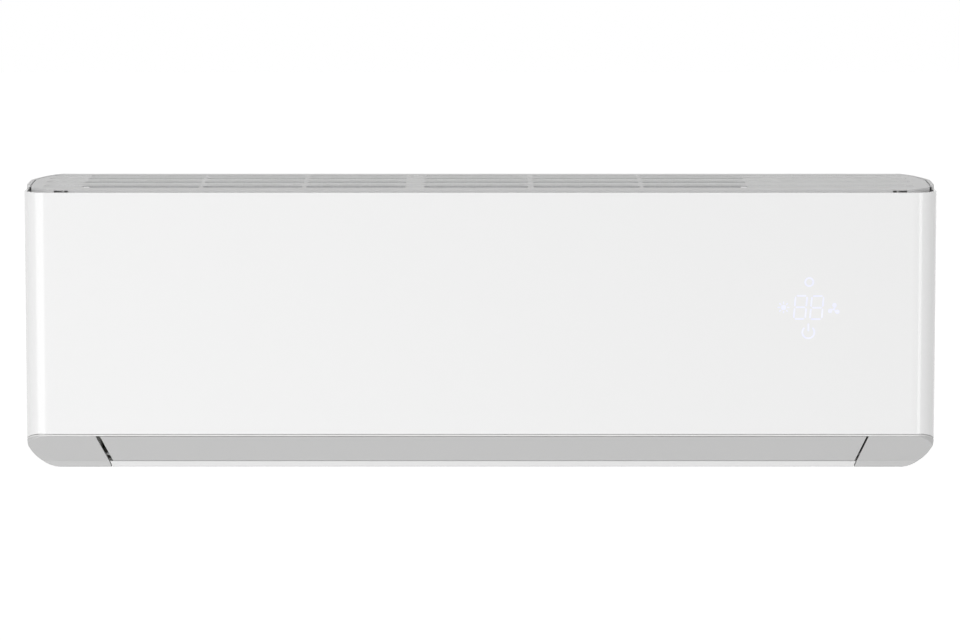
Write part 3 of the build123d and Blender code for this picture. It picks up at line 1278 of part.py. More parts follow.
with BuildPart() as cable_clamp:
    with BuildSketch(Plane.XZ.offset(-BOX_Y[0] + 2.2)):
        with Locations((sum(TERMINAL_X) / 2, TERMINAL_Z[0] - 8)):
            Rectangle(34, 9)
    extrude(amount=10)
    with BuildSketch(Plane.XY.offset(TERMINAL_Z[0] - 20)):
        with Locations((sum(TERMINAL_X) / 2, BOX_Y[0] - 2.2)):
            Circle(4.5)
    extrude(amount=24, mode=Mode.SUBTRACT)
save(cable_clamp, "cable_clamp")

DISPLAY_X, DISPLAY_Z = 350.0, 10.0
DISPLAY_W, DISPLAY_H = 76.0, 74.0
with BuildPart() as display_board:
    with BuildSketch(Plane.XZ.offset(-FRAME_Y[0])):
        with Locations((DISPLAY_X, DISPLAY_Z)):
            RectangleRounded(DISPLAY_W, DISPLAY_H, 4)
    extrude(amount=1.4)
    with BuildSketch(Plane.XZ.offset(-FRAME_Y[0] + 1.4)):
        with Locations((DISPLAY_X, DISPLAY_Z)):
            Rectangle(DISPLAY_W - 14, DISPLAY_H - 12)
    extrude(amount=1.2)
save(display_board, "display_board")

# ---------------------------------------------------------------- wall plate
PLATE_HALF = 350.0
PLATE_Z = (-86.0, 100.0)
SCREW_X, SCREW_Z = 300.0, 60.0
CENTRE_SCREW_X, CENTRE_SCREW_Z = 120.0, 60.0
WALL_HOLE_R = 2.6
BEAD_Z = (-30.0, 20.0)
BEAD_H = 5.0
HOOK_REACH_Y = BACK_Y - 2.4

with BuildPart() as wall_plate:
    with BuildSketch(Plane.XZ):
        with Locations((0, sum(PLATE_Z) / 2)):
            RectangleRounded(2 * PLATE_HALF, PLATE_Z[1] - PLATE_Z[0], 12)
        with GridLocations(2 * SCREW_X, 2 * SCREW_Z, 2, 2):
            Circle(WALL_HOLE_R, mode=Mode.SUBTRACT)
        with Locations((-CENTRE_SCREW_X, CENTRE_SCREW_Z), (CENTRE_SCREW_X, CENTRE_SCREW_Z)):
            Circle(WALL_HOLE_R, mode=Mode.SUBTRACT)
        with Locations(*[(x, sum(BEAD_Z) / 2) for x in (-235, -80, 80, 235)]):
            RectangleRounded(90, 34, 8, mode=Mode.SUBTRACT)
    extrude(amount=PLATE_T)
    for z in (PLATE_Z[0], PLATE_Z[1] - PLATE_T):
        with BuildSketch(Plane.XY.offset(z)):
            with Locations((0, -BEAD_H / 2)):
                Rectangle(2 * PLATE_HALF - 24, BEAD_H)
        extrude(amount=PLATE_T)
    for x in HOOKS_X:
        with BuildSketch(Plane.YZ.offset(x - HOOK_W / 2)):
            Polygon(
                (0, HOOK_Z), (HOOK_REACH_Y, HOOK_Z), (HOOK_REACH_Y, HOOK_Z + 12),
                (HOOK_REACH_Y + PLATE_T, HOOK_Z + 12), (HOOK_REACH_Y + PLATE_T, HOOK_Z + PLATE_T),
                (0, HOOK_Z + PLATE_T), align=None,
            )
        extrude(amount=HOOK_W)
save(wall_plate, "wall_plate")
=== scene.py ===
# %% [markdown]
# # A wall-hung air conditioner, indoor unit
#
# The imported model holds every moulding, pipe and vane at its true size. This lesson gives each of
# them a finish, adds the fine work that a solid model leaves out (coil fins, filter netting, the lit
# display) and lights the unit as a plain studio picture. All lengths are in metres, +Z is up, the
# wall is the plane Y = 0 and the front of the unit faces -Y.

import math

import bpy
import numpy as np
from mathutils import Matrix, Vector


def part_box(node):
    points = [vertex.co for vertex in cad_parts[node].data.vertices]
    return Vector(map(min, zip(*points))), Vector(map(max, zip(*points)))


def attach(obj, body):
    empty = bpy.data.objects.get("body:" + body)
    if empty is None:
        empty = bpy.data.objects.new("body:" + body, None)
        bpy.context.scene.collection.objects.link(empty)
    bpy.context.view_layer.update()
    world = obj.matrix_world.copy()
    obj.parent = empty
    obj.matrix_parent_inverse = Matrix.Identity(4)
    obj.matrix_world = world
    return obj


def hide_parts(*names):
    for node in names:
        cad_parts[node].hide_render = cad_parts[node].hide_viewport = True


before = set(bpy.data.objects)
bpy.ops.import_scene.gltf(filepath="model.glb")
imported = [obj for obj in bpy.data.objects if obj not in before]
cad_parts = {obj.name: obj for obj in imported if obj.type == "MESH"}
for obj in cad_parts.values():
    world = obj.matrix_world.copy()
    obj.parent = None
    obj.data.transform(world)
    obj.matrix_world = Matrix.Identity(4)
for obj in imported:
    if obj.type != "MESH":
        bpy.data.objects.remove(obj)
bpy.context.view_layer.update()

# %% [markdown]
# ## Small tools for shader trees
#
# A material in Blender is a tree of nodes. Typing every node by hand is long, so two helpers keep
# the later cells short: `put` adds a node and fills in its values, `wire` joins two sockets.


# %% Node helpers
def put(tree, kind, **values):
    """Add a node of a kind to a tree. A value goes to the input of that name, or else to the node."""
    made = tree.nodes.new(kind)
    for name, value in values.items():
        label = name.replace("_", " ")
        if label in made.inputs:
            made.inputs[label].default_value = value
        else:
            setattr(made, name, value)
    return made


def wire(tree, start, end):
    """Join an output socket to an input socket."""
    tree.links.new(start, end)


def level(tree, source, low, high, out_low=0.0, out_high=1.0):
    """Stretch a value: low becomes out_low and high becomes out_high, held at both ends."""
    scale = put(tree, "ShaderNodeMapRange", From_Min=low, From_Max=high, To_Min=out_low, To_Max=out_high)
    wire(tree, source, scale.inputs["Value"])
    return scale.outputs["Result"]


def sums(tree, operation, first, second):
    """A Math node. Each side is a socket or a number."""
    made = put(tree, "ShaderNodeMath", operation=operation)
    for slot, side in enumerate((first, second)):
        if isinstance(side, (int, float)):
            made.inputs[slot].default_value = side
        else:
            wire(tree, side, made.inputs[slot])
    return made.outputs["Value"]


def screen(*channels):
    """Turn a colour as read off a screen, 0 to 255, into the linear light that shaders use."""
    value = np.array(channels) / 255
    linear = np.where(value <= 0.04045, value / 12.92, ((value + 0.055) / 1.055) ** 2.4)
    return (*linear.tolist(), 1.0)


# %% [markdown]
# ## Effects that several finishes share
#
# Mouldings, plated steel and copper tube all need the same few effects: the fine grain of a tool
# surface, a softened edge, dust that settles on what faces up, and rubbed edges. Each one is a node
# group, built once. A group puts out a colour, a mask, a value or a normal, and the shader itself
# stays in the material.


# %% A blank node group
def new_group(name, inputs, outputs):
    """A group with its sockets. inputs and outputs are (name, kind, default) and (name, kind)."""
    tree = bpy.data.node_groups.new(name, "ShaderNodeTree")
    for label, kind, default in inputs:
        made = tree.interface.new_socket(label, in_out="INPUT", socket_type="NodeSocket" + kind)
        made.default_value = default
    for label, kind in outputs:
        tree.interface.new_socket(label, in_out="OUTPUT", socket_type="NodeSocket" + kind)
    return tree, tree.nodes.new("NodeGroupInput"), tree.nodes.new("NodeGroupOutput")


# %% [markdown]
# Grain: a moulding tool is spark-eroded or polished, so even a gloss part has a very slight orange
# peel and a matt part has a pebbled grain. A noise over Object coordinates moves the normal a
# little and also varies the roughness, so highlights are never perfectly even. The Bevel node
# rounds the shading of hard edges, which keeps them from looking cut out of paper.


# %% Group: tool_grain
def build_tool_grain():
    """Normal = bevelled normal, bumped by fine noise; Roughness = base + spread x (coarse noise - 1/2)."""
    tree, given, result = new_group(
        "tool_grain",
        [("Roughness", "Float", 0.4), ("Spread", "Float", 0.05), ("Scale", "Float", 900.0),
         ("Depth", "Float", 0.00002), ("Edge", "Float", 0.0005)],
        [("Roughness", "Float"), ("Normal", "Vector")],
    )
    place = put(tree, "ShaderNodeTexCoord").outputs["Object"]
    fine = put(tree, "ShaderNodeTexNoise", Detail=3.0, Roughness=0.55)
    wire(tree, place, fine.inputs["Vector"])
    wire(tree, given.outputs["Scale"], fine.inputs["Scale"])
    coarse = put(tree, "ShaderNodeTexNoise", Scale=9.0, Detail=4.0)
    wire(tree, place, coarse.inputs["Vector"])
    centred = sums(tree, "SUBTRACT", coarse.outputs["Fac"], 0.5)
    swing = sums(tree, "MULTIPLY", centred, given.outputs["Spread"])
    wire(tree, sums(tree, "ADD", given.outputs["Roughness"], swing), result.inputs["Roughness"])
    soft = put(tree, "ShaderNodeBevel", samples=4)
    wire(tree, given.outputs["Edge"], soft.inputs["Radius"])
    bump = put(tree, "ShaderNodeBump", Strength=1.0)
    wire(tree, fine.outputs["Fac"], bump.inputs["Height"])
    wire(tree, given.outputs["Depth"], bump.inputs["Distance"])
    wire(tree, soft.outputs["Normal"], bump.inputs["Normal"])
    wire(tree, bump.outputs["Normal"], result.inputs["Normal"])
    return tree


tool_grain = build_tool_grain()
print("group", tool_grain.name, "with", len(tool_grain.nodes), "nodes")

# %% [markdown]
# Dust: it settles on what faces up, and never evenly. The upward part of the normal says where it can
# lie, and a cloudy noise thins it in places.


# %% Group: settled_dust
def build_settled_dust():
    """Mask = how far a face looks up, times cloudy noise, times the amount asked for."""
    tree, given, result = new_group("settled_dust", [("Amount", "Float", 0.2)], [("Mask", "Float")])
    coordinates = put(tree, "ShaderNodeTexCoord")
    split = put(tree, "ShaderNodeSeparateXYZ")
    wire(tree, coordinates.outputs["Normal"], split.inputs["Vector"])
    upward = level(tree, split.outputs["Z"], 0.35, 0.95)
    cloud = put(tree, "ShaderNodeTexNoise", Scale=38.0, Detail=5.0, Roughness=0.6)
    wire(tree, coordinates.outputs["Object"], cloud.inputs["Vector"])
    patches = level(tree, cloud.outputs["Fac"], 0.35, 0.7, 0.35, 1.0)
    film = sums(tree, "MULTIPLY", upward, patches)
    wire(tree, sums(tree, "MULTIPLY", film, given.outputs["Amount"]), result.inputs["Mask"])
    return tree


settled_dust = build_settled_dust()
print("group", settled_dust.name, "with", len(settled_dust.nodes), "nodes")


# %% [markdown]
# Rubbed edges: where two faces meet, hands and cleaning cloths polish the surface and a plated coat
# goes thin. The Bevel node gives a smoothed normal, and where it differs from the true normal there
# is an edge near by, inside or outside. Noise breaks the line up so that it doesn't look drawn.


# %% Group: rubbed_edge
def build_rubbed_edge():
    """Mask = 1 - (smoothed normal . true normal), stretched, times noise, times the amount."""
    tree, given, result = new_group(
        "rubbed_edge", [("Amount", "Float", 0.3), ("Width", "Float", 0.0012)], [("Mask", "Float")]
    )
    soft = put(tree, "ShaderNodeBevel", samples=4)
    wire(tree, given.outputs["Width"], soft.inputs["Radius"])
    true = put(tree, "ShaderNodeNewGeometry").outputs["Normal"]
    same = put(tree, "ShaderNodeVectorMath", operation="DOT_PRODUCT")
    wire(tree, soft.outputs["Normal"], same.inputs[0])
    wire(tree, true, same.inputs[1])
    edge = level(tree, same.outputs["Value"], 0.98, 0.80)
    place = put(tree, "ShaderNodeTexCoord").outputs["Object"]
    broken = put(tree, "ShaderNodeTexNoise", Scale=160.0, Detail=4.0, Roughness=0.7)
    wire(tree, place, broken.inputs["Vector"])
    gaps = level(tree, broken.outputs["Fac"], 0.42, 0.62)
    rubbed = sums(tree, "MULTIPLY", edge, gaps)
    wire(tree, sums(tree, "MULTIPLY", rubbed, given.outputs["Amount"]), result.inputs["Mask"])
    return tree


rubbed_edge = build_rubbed_edge()
print("group", rubbed_edge.name, "with", len(rubbed_edge.nodes), "nodes")

# %% [markdown]
# Metal surfaces: hot-dip zinc freezes in flat crystals, a centimetre or so across, and each one
# reflects a little differently. A Voronoi pattern gives those cells. Drawn tube and turned brass
# carry fine lines instead, which a stretched noise gives. One group does both: it has a cell part
# and a line part, and each finish asks for more of one or the other.


# %% Group: metal_face
def build_metal_face():
    """Value = 1 + cells x (cell shade - 1/2) + lines x (stretched noise - 1/2); Tarnish is cloudy noise."""
    tree, given, result = new_group(
        "metal_face",
        [("Cells", "Float", 0.3), ("Cell Scale", "Float", 90.0), ("Lines", "Float", 0.1),
         ("Line Scale", "Vector", (4.0, 700.0, 700.0)), ("Roughness", "Float", 0.35)],
        [("Value", "Float"), ("Roughness", "Float"), ("Tarnish", "Float")],
    )
    place = put(tree, "ShaderNodeTexCoord").outputs["Object"]
    cells = put(tree, "ShaderNodeTexVoronoi")
    wire(tree, place, cells.inputs["Vector"])
    wire(tree, given.outputs["Cell Scale"], cells.inputs["Scale"])
    shade = put(tree, "ShaderNodeSeparateColor")
    wire(tree, cells.outputs["Color"], shade.inputs["Color"])
    cell_shade = sums(tree, "SUBTRACT", shade.outputs["Red"], 0.5)
    crystal = sums(tree, "MULTIPLY", cell_shade, given.outputs["Cells"])
    stretch = put(tree, "ShaderNodeVectorMath", operation="MULTIPLY")
    wire(tree, place, stretch.inputs[0])
    wire(tree, given.outputs["Line Scale"], stretch.inputs[1])
    drawn = put(tree, "ShaderNodeTexNoise", Scale=1.0, Detail=3.0)
    wire(tree, stretch.outputs["Vector"], drawn.inputs["Vector"])
    line_shade = sums(tree, "SUBTRACT", drawn.outputs["Fac"], 0.5)
    lines = sums(tree, "MULTIPLY", line_shade, given.outputs["Lines"])
    both = sums(tree, "ADD", crystal, lines)
    wire(tree, sums(tree, "ADD", both, 1.0), result.inputs["Value"])
    swing = sums(tree, "MULTIPLY", both, 0.5)
    wire(tree, sums(tree, "ADD", given.outputs["Roughness"], swing), result.inputs["Roughness"])
    cloud = put(tree, "ShaderNodeTexNoise", Scale=24.0, Detail=6.0, Roughness=0.62)
    wire(tree, place, cloud.inputs["Vector"])
    wire(tree, level(tree, cloud.outputs["Fac"], 0.45, 0.72), result.inputs["Tarnish"])
    return tree


metal_face = build_metal_face()
print("group", metal_face.name, "with", len(metal_face.nodes), "nodes")

# %% [markdown]
# ## Finishes
#
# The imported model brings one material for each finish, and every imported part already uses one, so
# a finish is made by rebuilding that material's tree. Two recipes cover almost everything.
#
# A moulding has a body colour that drifts a little, because plastic granules are never mixed
# perfectly. Dust lies on top of it, rubbed edges are a shade lighter, and gloss comes from low
# roughness with a clear coat of the tool's polish.


# %% Recipe: moulded plastic
DUST = screen(176, 170, 160)
EDGE_ROUND = 0.0006                             # radius of a moulding's softened edges
COLOUR_A, COLOUR_B, COLOUR_RESULT = 6, 7, 2     # the Mix node's sockets for colours


def blank(name):
    """Empty a material's tree and give it a Principled shader. Returns the tree and the shader."""
    material = bpy.data.materials.get(name) or bpy.data.materials.new(name)
    material.use_nodes = True
    tree = material.node_tree
    tree.nodes.clear()
    shader = put(tree, "ShaderNodeBsdfPrincipled")
    wire(tree, shader.outputs["BSDF"], put(tree, "ShaderNodeOutputMaterial").inputs["Surface"])
    return tree, shader


def use_group(tree, group, **values):
    """Place a node group in a material with its own values."""
    made = tree.nodes.new("ShaderNodeGroup")
    made.node_tree = group
    for name, value in values.items():
        made.inputs[name.replace("_", " ")].default_value = value
    return made


def mixed(tree, mask, below, above):
    """Colour mix: below where the mask is 0, above where it is 1. Each is a colour or a socket."""
    made = put(tree, "ShaderNodeMix", data_type="RGBA")
    wire(tree, mask, made.inputs["Factor"])
    for socket, side in ((made.inputs[COLOUR_A], below), (made.inputs[COLOUR_B], above)):
        if isinstance(side, tuple):
            socket.default_value = side
        else:
            wire(tree, side, socket)
    return made.outputs[COLOUR_RESULT]


def lighter(colour, share):
    """A colour moved towards white (share above 0) or towards black (below 0)."""
    end = 1.0 if share > 0 else 0.0
    return (*[c + (end - c) * abs(share) for c in colour[:3]], 1.0)


def moulding(name, colour, roughness, depth, scale, dust, rub, drift=0.02, coat=0.0, shine=0.5):
    """Body colour with drift, rubbed edges and dust, over a tool grain of a depth and a scale."""
    tree, shader = blank(name)
    place = put(tree, "ShaderNodeTexCoord").outputs["Object"]
    cloud = put(tree, "ShaderNodeTexNoise", Scale=7.0, Detail=3.0)
    wire(tree, place, cloud.inputs["Vector"])
    body = mixed(tree, cloud.outputs["Fac"], lighter(colour, -drift), lighter(colour, drift))
    worn = use_group(tree, rubbed_edge, Amount=rub, Width=2 * EDGE_ROUND)
    body = mixed(tree, worn.outputs["Mask"], body, lighter(colour, 0.35))
    film = use_group(tree, settled_dust, Amount=dust)
    wire(tree, mixed(tree, film.outputs["Mask"], body, DUST), shader.inputs["Base Color"])
    grain = use_group(
        tree, tool_grain, Roughness=roughness, Spread=0.08, Scale=scale, Depth=depth, Edge=EDGE_ROUND
    )
    dull = sums(tree, "MULTIPLY", film.outputs["Mask"], 0.5)
    wire(tree, sums(tree, "ADD", grain.outputs["Roughness"], dull), shader.inputs["Roughness"])
    wire(tree, grain.outputs["Normal"], shader.inputs["Normal"])
    shader.inputs["Specular IOR Level"].default_value = shine
    shader.inputs["Coat Weight"].default_value = coat
    shader.inputs["Coat Roughness"].default_value = 0.06


# %% [markdown]
# Bare metal is the same idea with the metal group: its value scales the base colour, tarnish darkens
# it in clouds, and rubbed edges stay bright.


# %% Recipe: bare metal
def metal(
    name, colour, roughness, tarnish, lines, cells=0.0, cell_scale=90.0,
    line_scale=(4.0, 700.0, 700.0), dull=0.35,
):
    """Metal colour times the surface value, darker where tarnished, brighter along rubbed edges."""
    tree, shader = blank(name)
    face = use_group(
        tree, metal_face, Cells=cells, Cell_Scale=cell_scale, Lines=lines, Line_Scale=line_scale,
        Roughness=roughness,
    )
    scaled = put(tree, "ShaderNodeVectorMath", operation="SCALE")
    scaled.inputs[0].default_value = colour[:3]
    wire(tree, face.outputs["Value"], scaled.inputs["Scale"])
    spots = sums(tree, "MULTIPLY", face.outputs["Tarnish"], dull)
    aged = mixed(tree, spots, scaled.outputs["Vector"], tarnish)
    worn = use_group(tree, rubbed_edge, Amount=0.5, Width=0.0008)
    wire(tree, mixed(tree, worn.outputs["Mask"], aged, lighter(colour, 0.3)), shader.inputs["Base Color"])
    swing = sums(tree, "MULTIPLY", spots, 0.5)
    wire(tree, sums(tree, "ADD", face.outputs["Roughness"], swing), shader.inputs["Roughness"])
    grain = use_group(tree, tool_grain, Scale=700.0, Depth=0.000008, Edge=0.0004)
    wire(tree, grain.outputs["Normal"], shader.inputs["Normal"])
    shader.inputs["Metallic"].default_value = 1.0


# %% [markdown]
# The front panel is the piece that everyone looks at: white, polished, with a thin clear coat. The
# covers behind it come from another tool and are matt. The band across the bottom is a satin grey.
# What lies behind the panel is plainer, as on a real unit, where only the shell is moulded with care.

# %% The finishes of the mouldings
moulding(
    "white_gloss", screen(244, 244, 244), 0.10,
    depth=0.000004, scale=300.0, dust=0.02, rub=0.05, drift=0.003, coat=0.2,
)
moulding(
    "white_cover", screen(234, 234, 234), 0.42,
    depth=0.00001, scale=900.0, dust=0.10, rub=0.08, drift=0.006, shine=0.25,
)
moulding(
    "white_frame", screen(238, 238, 237), 0.42,
    depth=0.00002, scale=1300.0, dust=0.10, rub=0.10, drift=0.012,
)
moulding(
    "grey_trim", screen(200, 200, 200), 0.34,
    depth=0.00001, scale=1200.0, dust=0.04, rub=0.12, drift=0.008,
)
moulding("chassis_plastic", screen(222, 222, 217), 0.50, depth=0.00003, scale=1000.0, dust=0.25, rub=0.10)
moulding("vane_plastic", screen(48, 49, 52), 0.45, depth=0.00002, scale=1200.0, dust=0.30, rub=0.25)
moulding("fan_plastic", screen(62, 66, 74), 0.42, depth=0.00002, scale=900.0, dust=0.35, rub=0.25)
moulding("rubber", screen(34, 34, 35), 0.72, depth=0.00004, scale=900.0, dust=0.30, rub=0.20)
moulding("motor_coat", screen(52, 52, 55), 0.48, depth=0.00006, scale=500.0, dust=0.25, rub=0.30)
moulding("filter_mesh", screen(196, 200, 204), 0.48, depth=0.00001, scale=1200.0, dust=0.25, rub=0.10)
moulding("black_plastic", screen(38, 38, 41), 0.40, depth=0.00002, scale=1200.0, dust=0.20, rub=0.25)
print("plastic finishes done")

# %% The finishes of the metals
metal(
    "fin_aluminium", screen(176, 198, 216), 0.34, screen(110, 122, 132),
    lines=0.25, line_scale=(900.0, 60.0, 60.0),
)
metal(
    "galvanised", screen(205, 207, 209), 0.36, screen(150, 150, 150),
    lines=0.05, cells=0.22, cell_scale=85.0,
)
metal("steel", screen(205, 205, 208), 0.26, screen(140, 138, 135), lines=0.2)
metal(
    "copper", screen(226, 150, 112), 0.28, screen(128, 74, 52),
    lines=0.25, line_scale=(40.0, 260.0, 260.0), dull=0.6,
)
metal(
    "brass", screen(214, 184, 112), 0.24, screen(140, 112, 62),
    lines=0.2, line_scale=(1500.0, 60.0, 60.0),
)
print("metal finishes done")

# %% [markdown]
# A circuit board has a green lacquer over copper tracks. The tracks run square to each other, so the
# mortar lines of a brick pattern, turned a quarter into the board's plane, give their mask. Under the
# lacquer they show only as a lighter green, and the solder points are small bright dots.


# %% The finish of the circuit boards
def board_finish():
    """Green lacquer; lighter where a brick pattern's mortar lines (the tracks) run; dots of solder."""
    tree, shader = blank("board")
    place = put(tree, "ShaderNodeTexCoord").outputs["Object"]
    turned = put(tree, "ShaderNodeMapping")
    turned.inputs["Rotation"].default_value = (math.pi / 2, 0.0, 0.0)
    wire(tree, place, turned.inputs["Vector"])
    tracks = put(tree, "ShaderNodeTexBrick", Scale=140.0, Mortar_Size=0.03, Mortar_Smooth=0.1)
    wire(tree, turned.outputs["Vector"], tracks.inputs["Vector"])
    lacquer = mixed(tree, tracks.outputs["Fac"], screen(18, 84, 52), screen(46, 128, 78))
    dots = put(tree, "ShaderNodeTexVoronoi", Scale=420.0, Randomness=0.35)
    wire(tree, place, dots.inputs["Vector"])
    solder = level(tree, dots.outputs["Distance"], 0.22, 0.16)
    wire(tree, mixed(tree, solder, lacquer, screen(196, 198, 196)), shader.inputs["Base Color"])
    grain = use_group(tree, tool_grain, Roughness=0.3, Scale=700.0, Depth=0.00001, Edge=0.0003)
    wire(tree, grain.outputs["Roughness"], shader.inputs["Roughness"])
    wire(tree, grain.outputs["Normal"], shader.inputs["Normal"])


board_finish()

# %% [markdown]
# ## From arrays to meshes
#
# Every new piece below is worked out as an array of points first. `solid_rows` joins rows of points
# into a tube: each row is a ring round the section, and rows follow each other along the path. Many
# tubes can share one mesh, so a net of three hundred strands is still one piece.


# %% Mesh builders
def as_piece(name, points, faces, body, slot, material=None):
    """Make a mesh object from points (n, 3) in metres and faces, give it a finish and a body to ride on."""
    mesh = bpy.data.meshes.new(name)
    mesh.from_pydata(points.tolist(), [], faces)
    mesh.update()
    mesh.shade_flat()
    made = bpy.data.objects.new(name, mesh)
    bpy.context.scene.collection.objects.link(made)
    mesh.materials.append(bpy.data.materials[material or slot])
    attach(made, body)
    print(name, "has", len(mesh.polygons), "faces")
    return made


def solid_rows(rings, closed=False):
    """Faces of many tubes. rings is (tubes, rows, corners, 3); closed joins the last row to the first."""
    tubes, rows, corners, _ = rings.shape
    index = np.arange(tubes * rows * corners).reshape(tubes, rows, corners)
    here = index if closed else index[:, :-1]
    there = np.roll(index, -1, axis=1) if closed else index[:, 1:]
    sides = np.stack(
        [here, np.roll(here, -1, axis=2), np.roll(there, -1, axis=2), there], axis=-1
    ).reshape(-1, 4)
    faces = sides.tolist()
    if not closed:
        faces += index[:, 0, ::-1].tolist() + index[:, -1].tolist()
    return rings.reshape(-1, 3), faces


def merge(parts):
    """Put several (points, faces) pairs into one."""
    points, faces, start = [], [], 0
    for some_points, some_faces in parts:
        points.append(some_points)
        faces += [[corner + start for corner in face] for face in some_faces]
        start += len(some_points)
    return np.concatenate(points), faces


# %% [markdown]
# ## Filter netting
#
# Each filter is a springy frame with a fine net, pushed in from the front: it stands behind the front
# frame, bends round the top corner and lies under the grille. The CAD part has it as one thin sheet.
# Here the sheet becomes real strands. The path is a line, a quarter circle and a line, sampled at its
# two ends and at equal steps round the bend. Strands that run along the path are tubes over those
# points, and strands across it are straight boxes turned to the path's direction.

# %% Path of a filter in the (Y, Z) plane
FILTER_LOW, FILTER_TOP = -0.0500, 0.1272
FILTER_FRONT, FILTER_REAR = -0.2082, -0.0580
FILTER_BEND = 0.055
FILTER_UP = FILTER_TOP - FILTER_BEND - FILTER_LOW
FILTER_ARC = FILTER_BEND * math.pi / 2
FILTER_LENGTH = FILTER_UP + FILTER_ARC + (FILTER_REAR - FILTER_FRONT - FILTER_BEND)
BEND_POINTS = 13


def filter_path(length):
    """(Y, Z) and the unit direction at distances along the filter: up, a quarter turn, then back."""
    angle = np.clip((length - FILTER_UP) / FILTER_BEND, 0, math.pi / 2)
    rise = FILTER_LOW + np.minimum(length, FILTER_UP) + FILTER_BEND * np.sin(angle)
    past_bend = np.maximum(length - FILTER_UP - FILTER_ARC, 0)
    back = FILTER_FRONT + FILTER_BEND * (1 - np.cos(angle)) + past_bend
    return np.stack([back, rise], -1), np.stack([np.sin(angle), np.cos(angle)], -1)


bend_steps = FILTER_UP + np.linspace(0, FILTER_ARC, BEND_POINTS)
path_steps = np.concatenate([[0.0], bend_steps, [FILTER_LENGTH]])
print("filter path is", round(FILTER_LENGTH * 1000), "mm long")


# %% Frame bars and strands of a filter
STRAND_PITCH, STRAND_HALF = 0.0020, 0.00016
BAR_WIDTH, BAR_HALF_DEPTH = 0.004, 0.0012
BAYS = 6
CROSS_BARS = (0.038, 0.092)       # up the path, between the bars at both ends
LAST_CROSS_BAR = 0.048            # back from the far end


def along_path(x_low, x_high, half_depth):
    """Bars that follow the path. x_low and x_high are arrays of the bars' sides."""
    middle, way = filter_path(path_steps)
    out = np.stack([-way[:, 1], way[:, 0]], -1) * half_depth
    inner, outer = middle - out, middle + out
    corners = [(x_low, inner), (x_high, inner), (x_high, outer), (x_low, outer)]
    rings = np.empty((len(x_low), len(path_steps), 4, 3))
    for corner, (x, side) in enumerate(corners):
        rings[:, :, corner, 0] = x[:, None]
        rings[:, :, corner, 1:] = side[None]
    return solid_rows(rings)


def across_path(distance, x_low, x_high, half_width, half_depth):
    """Bars along X at distances up the path, each turned to face the way the path runs."""
    middle, way = filter_path(distance)
    out = np.stack([-way[:, 1], way[:, 0]], -1)
    signs = np.array([(-1, -1), (1, -1), (1, 1), (-1, 1)])
    section = middle[:, None] + signs[:, :1] * way[:, None] * half_width
    section = section + signs[:, 1:] * out[:, None] * half_depth
    rings = np.empty((len(distance), 2, 4, 3))
    rings[:, 0, :, 0], rings[:, 1, :, 0] = x_low, x_high
    rings[..., 1:] = section[:, None]
    return solid_rows(rings)


def filter_screen(name, node, x_low, x_high):
    """Frame of bars with a net of strands in both directions."""
    starts = x_low + np.arange(BAYS + 1) * (x_high - x_low - BAR_WIDTH) / BAYS
    frame_bars = along_path(starts, starts + BAR_WIDTH, BAR_HALF_DEPTH)
    heights = np.array(
        [0.0, *CROSS_BARS, FILTER_LENGTH - LAST_CROSS_BAR, FILTER_LENGTH - BAR_WIDTH]
    ) + BAR_WIDTH / 2
    cross_bars = across_path(heights, x_low, x_high, BAR_WIDTH / 2, BAR_HALF_DEPTH)
    warp = np.arange(x_low + BAR_WIDTH, x_high - BAR_WIDTH, STRAND_PITCH)
    warp_strands = along_path(warp - STRAND_HALF, warp + STRAND_HALF, STRAND_HALF)
    weft = np.arange(BAR_WIDTH, FILTER_LENGTH - BAR_WIDTH, STRAND_PITCH)
    weft_strands = across_path(weft, x_low, x_high, STRAND_HALF, 0.8 * STRAND_HALF)
    points, faces = merge([frame_bars, cross_bars, warp_strands, weft_strands])
    made = as_piece(name, points, faces, "case", "filter_mesh")
    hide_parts(node)


for node in ("filter_left", "filter_right"):
    low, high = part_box(node)
    filter_screen(f"{node}_screen", node, low.x, high.x)

# %% [markdown]
# ## Coil fins
#
# Behind the filters stands the evaporator: three banks of thin aluminium fins pressed onto copper
# tubes. A bank is a rectangle seen from the end, leaning at its own angle, so a fin is that rectangle
# with a small thickness along X. The real pitch of 1.6 mm gives about 440 fins in each bank, which a
# CAD solid is too coarse for. Each fin here is one box, and the tubes run through as round bars.

# %% The banks as rows of fins
COIL_DEPTH, TUBE_PITCH, ROW_PITCH, TUBE_R = 0.026, 0.021, 0.013, 0.0035
FIN_PITCH, FIN_T = 0.0016, 0.00018
TUBE_SIDES = 12
BANKS = {                         # (Y, Z) of the middle of each bank's two ends
    "coil_front": ((-0.185, -0.074), (-0.185, 0.020)),
    "coil_upper": ((-0.184, 0.038), (-0.116, 0.112)),
    "coil_rear": ((-0.040, 0.026), (-0.092, 0.098)),
}


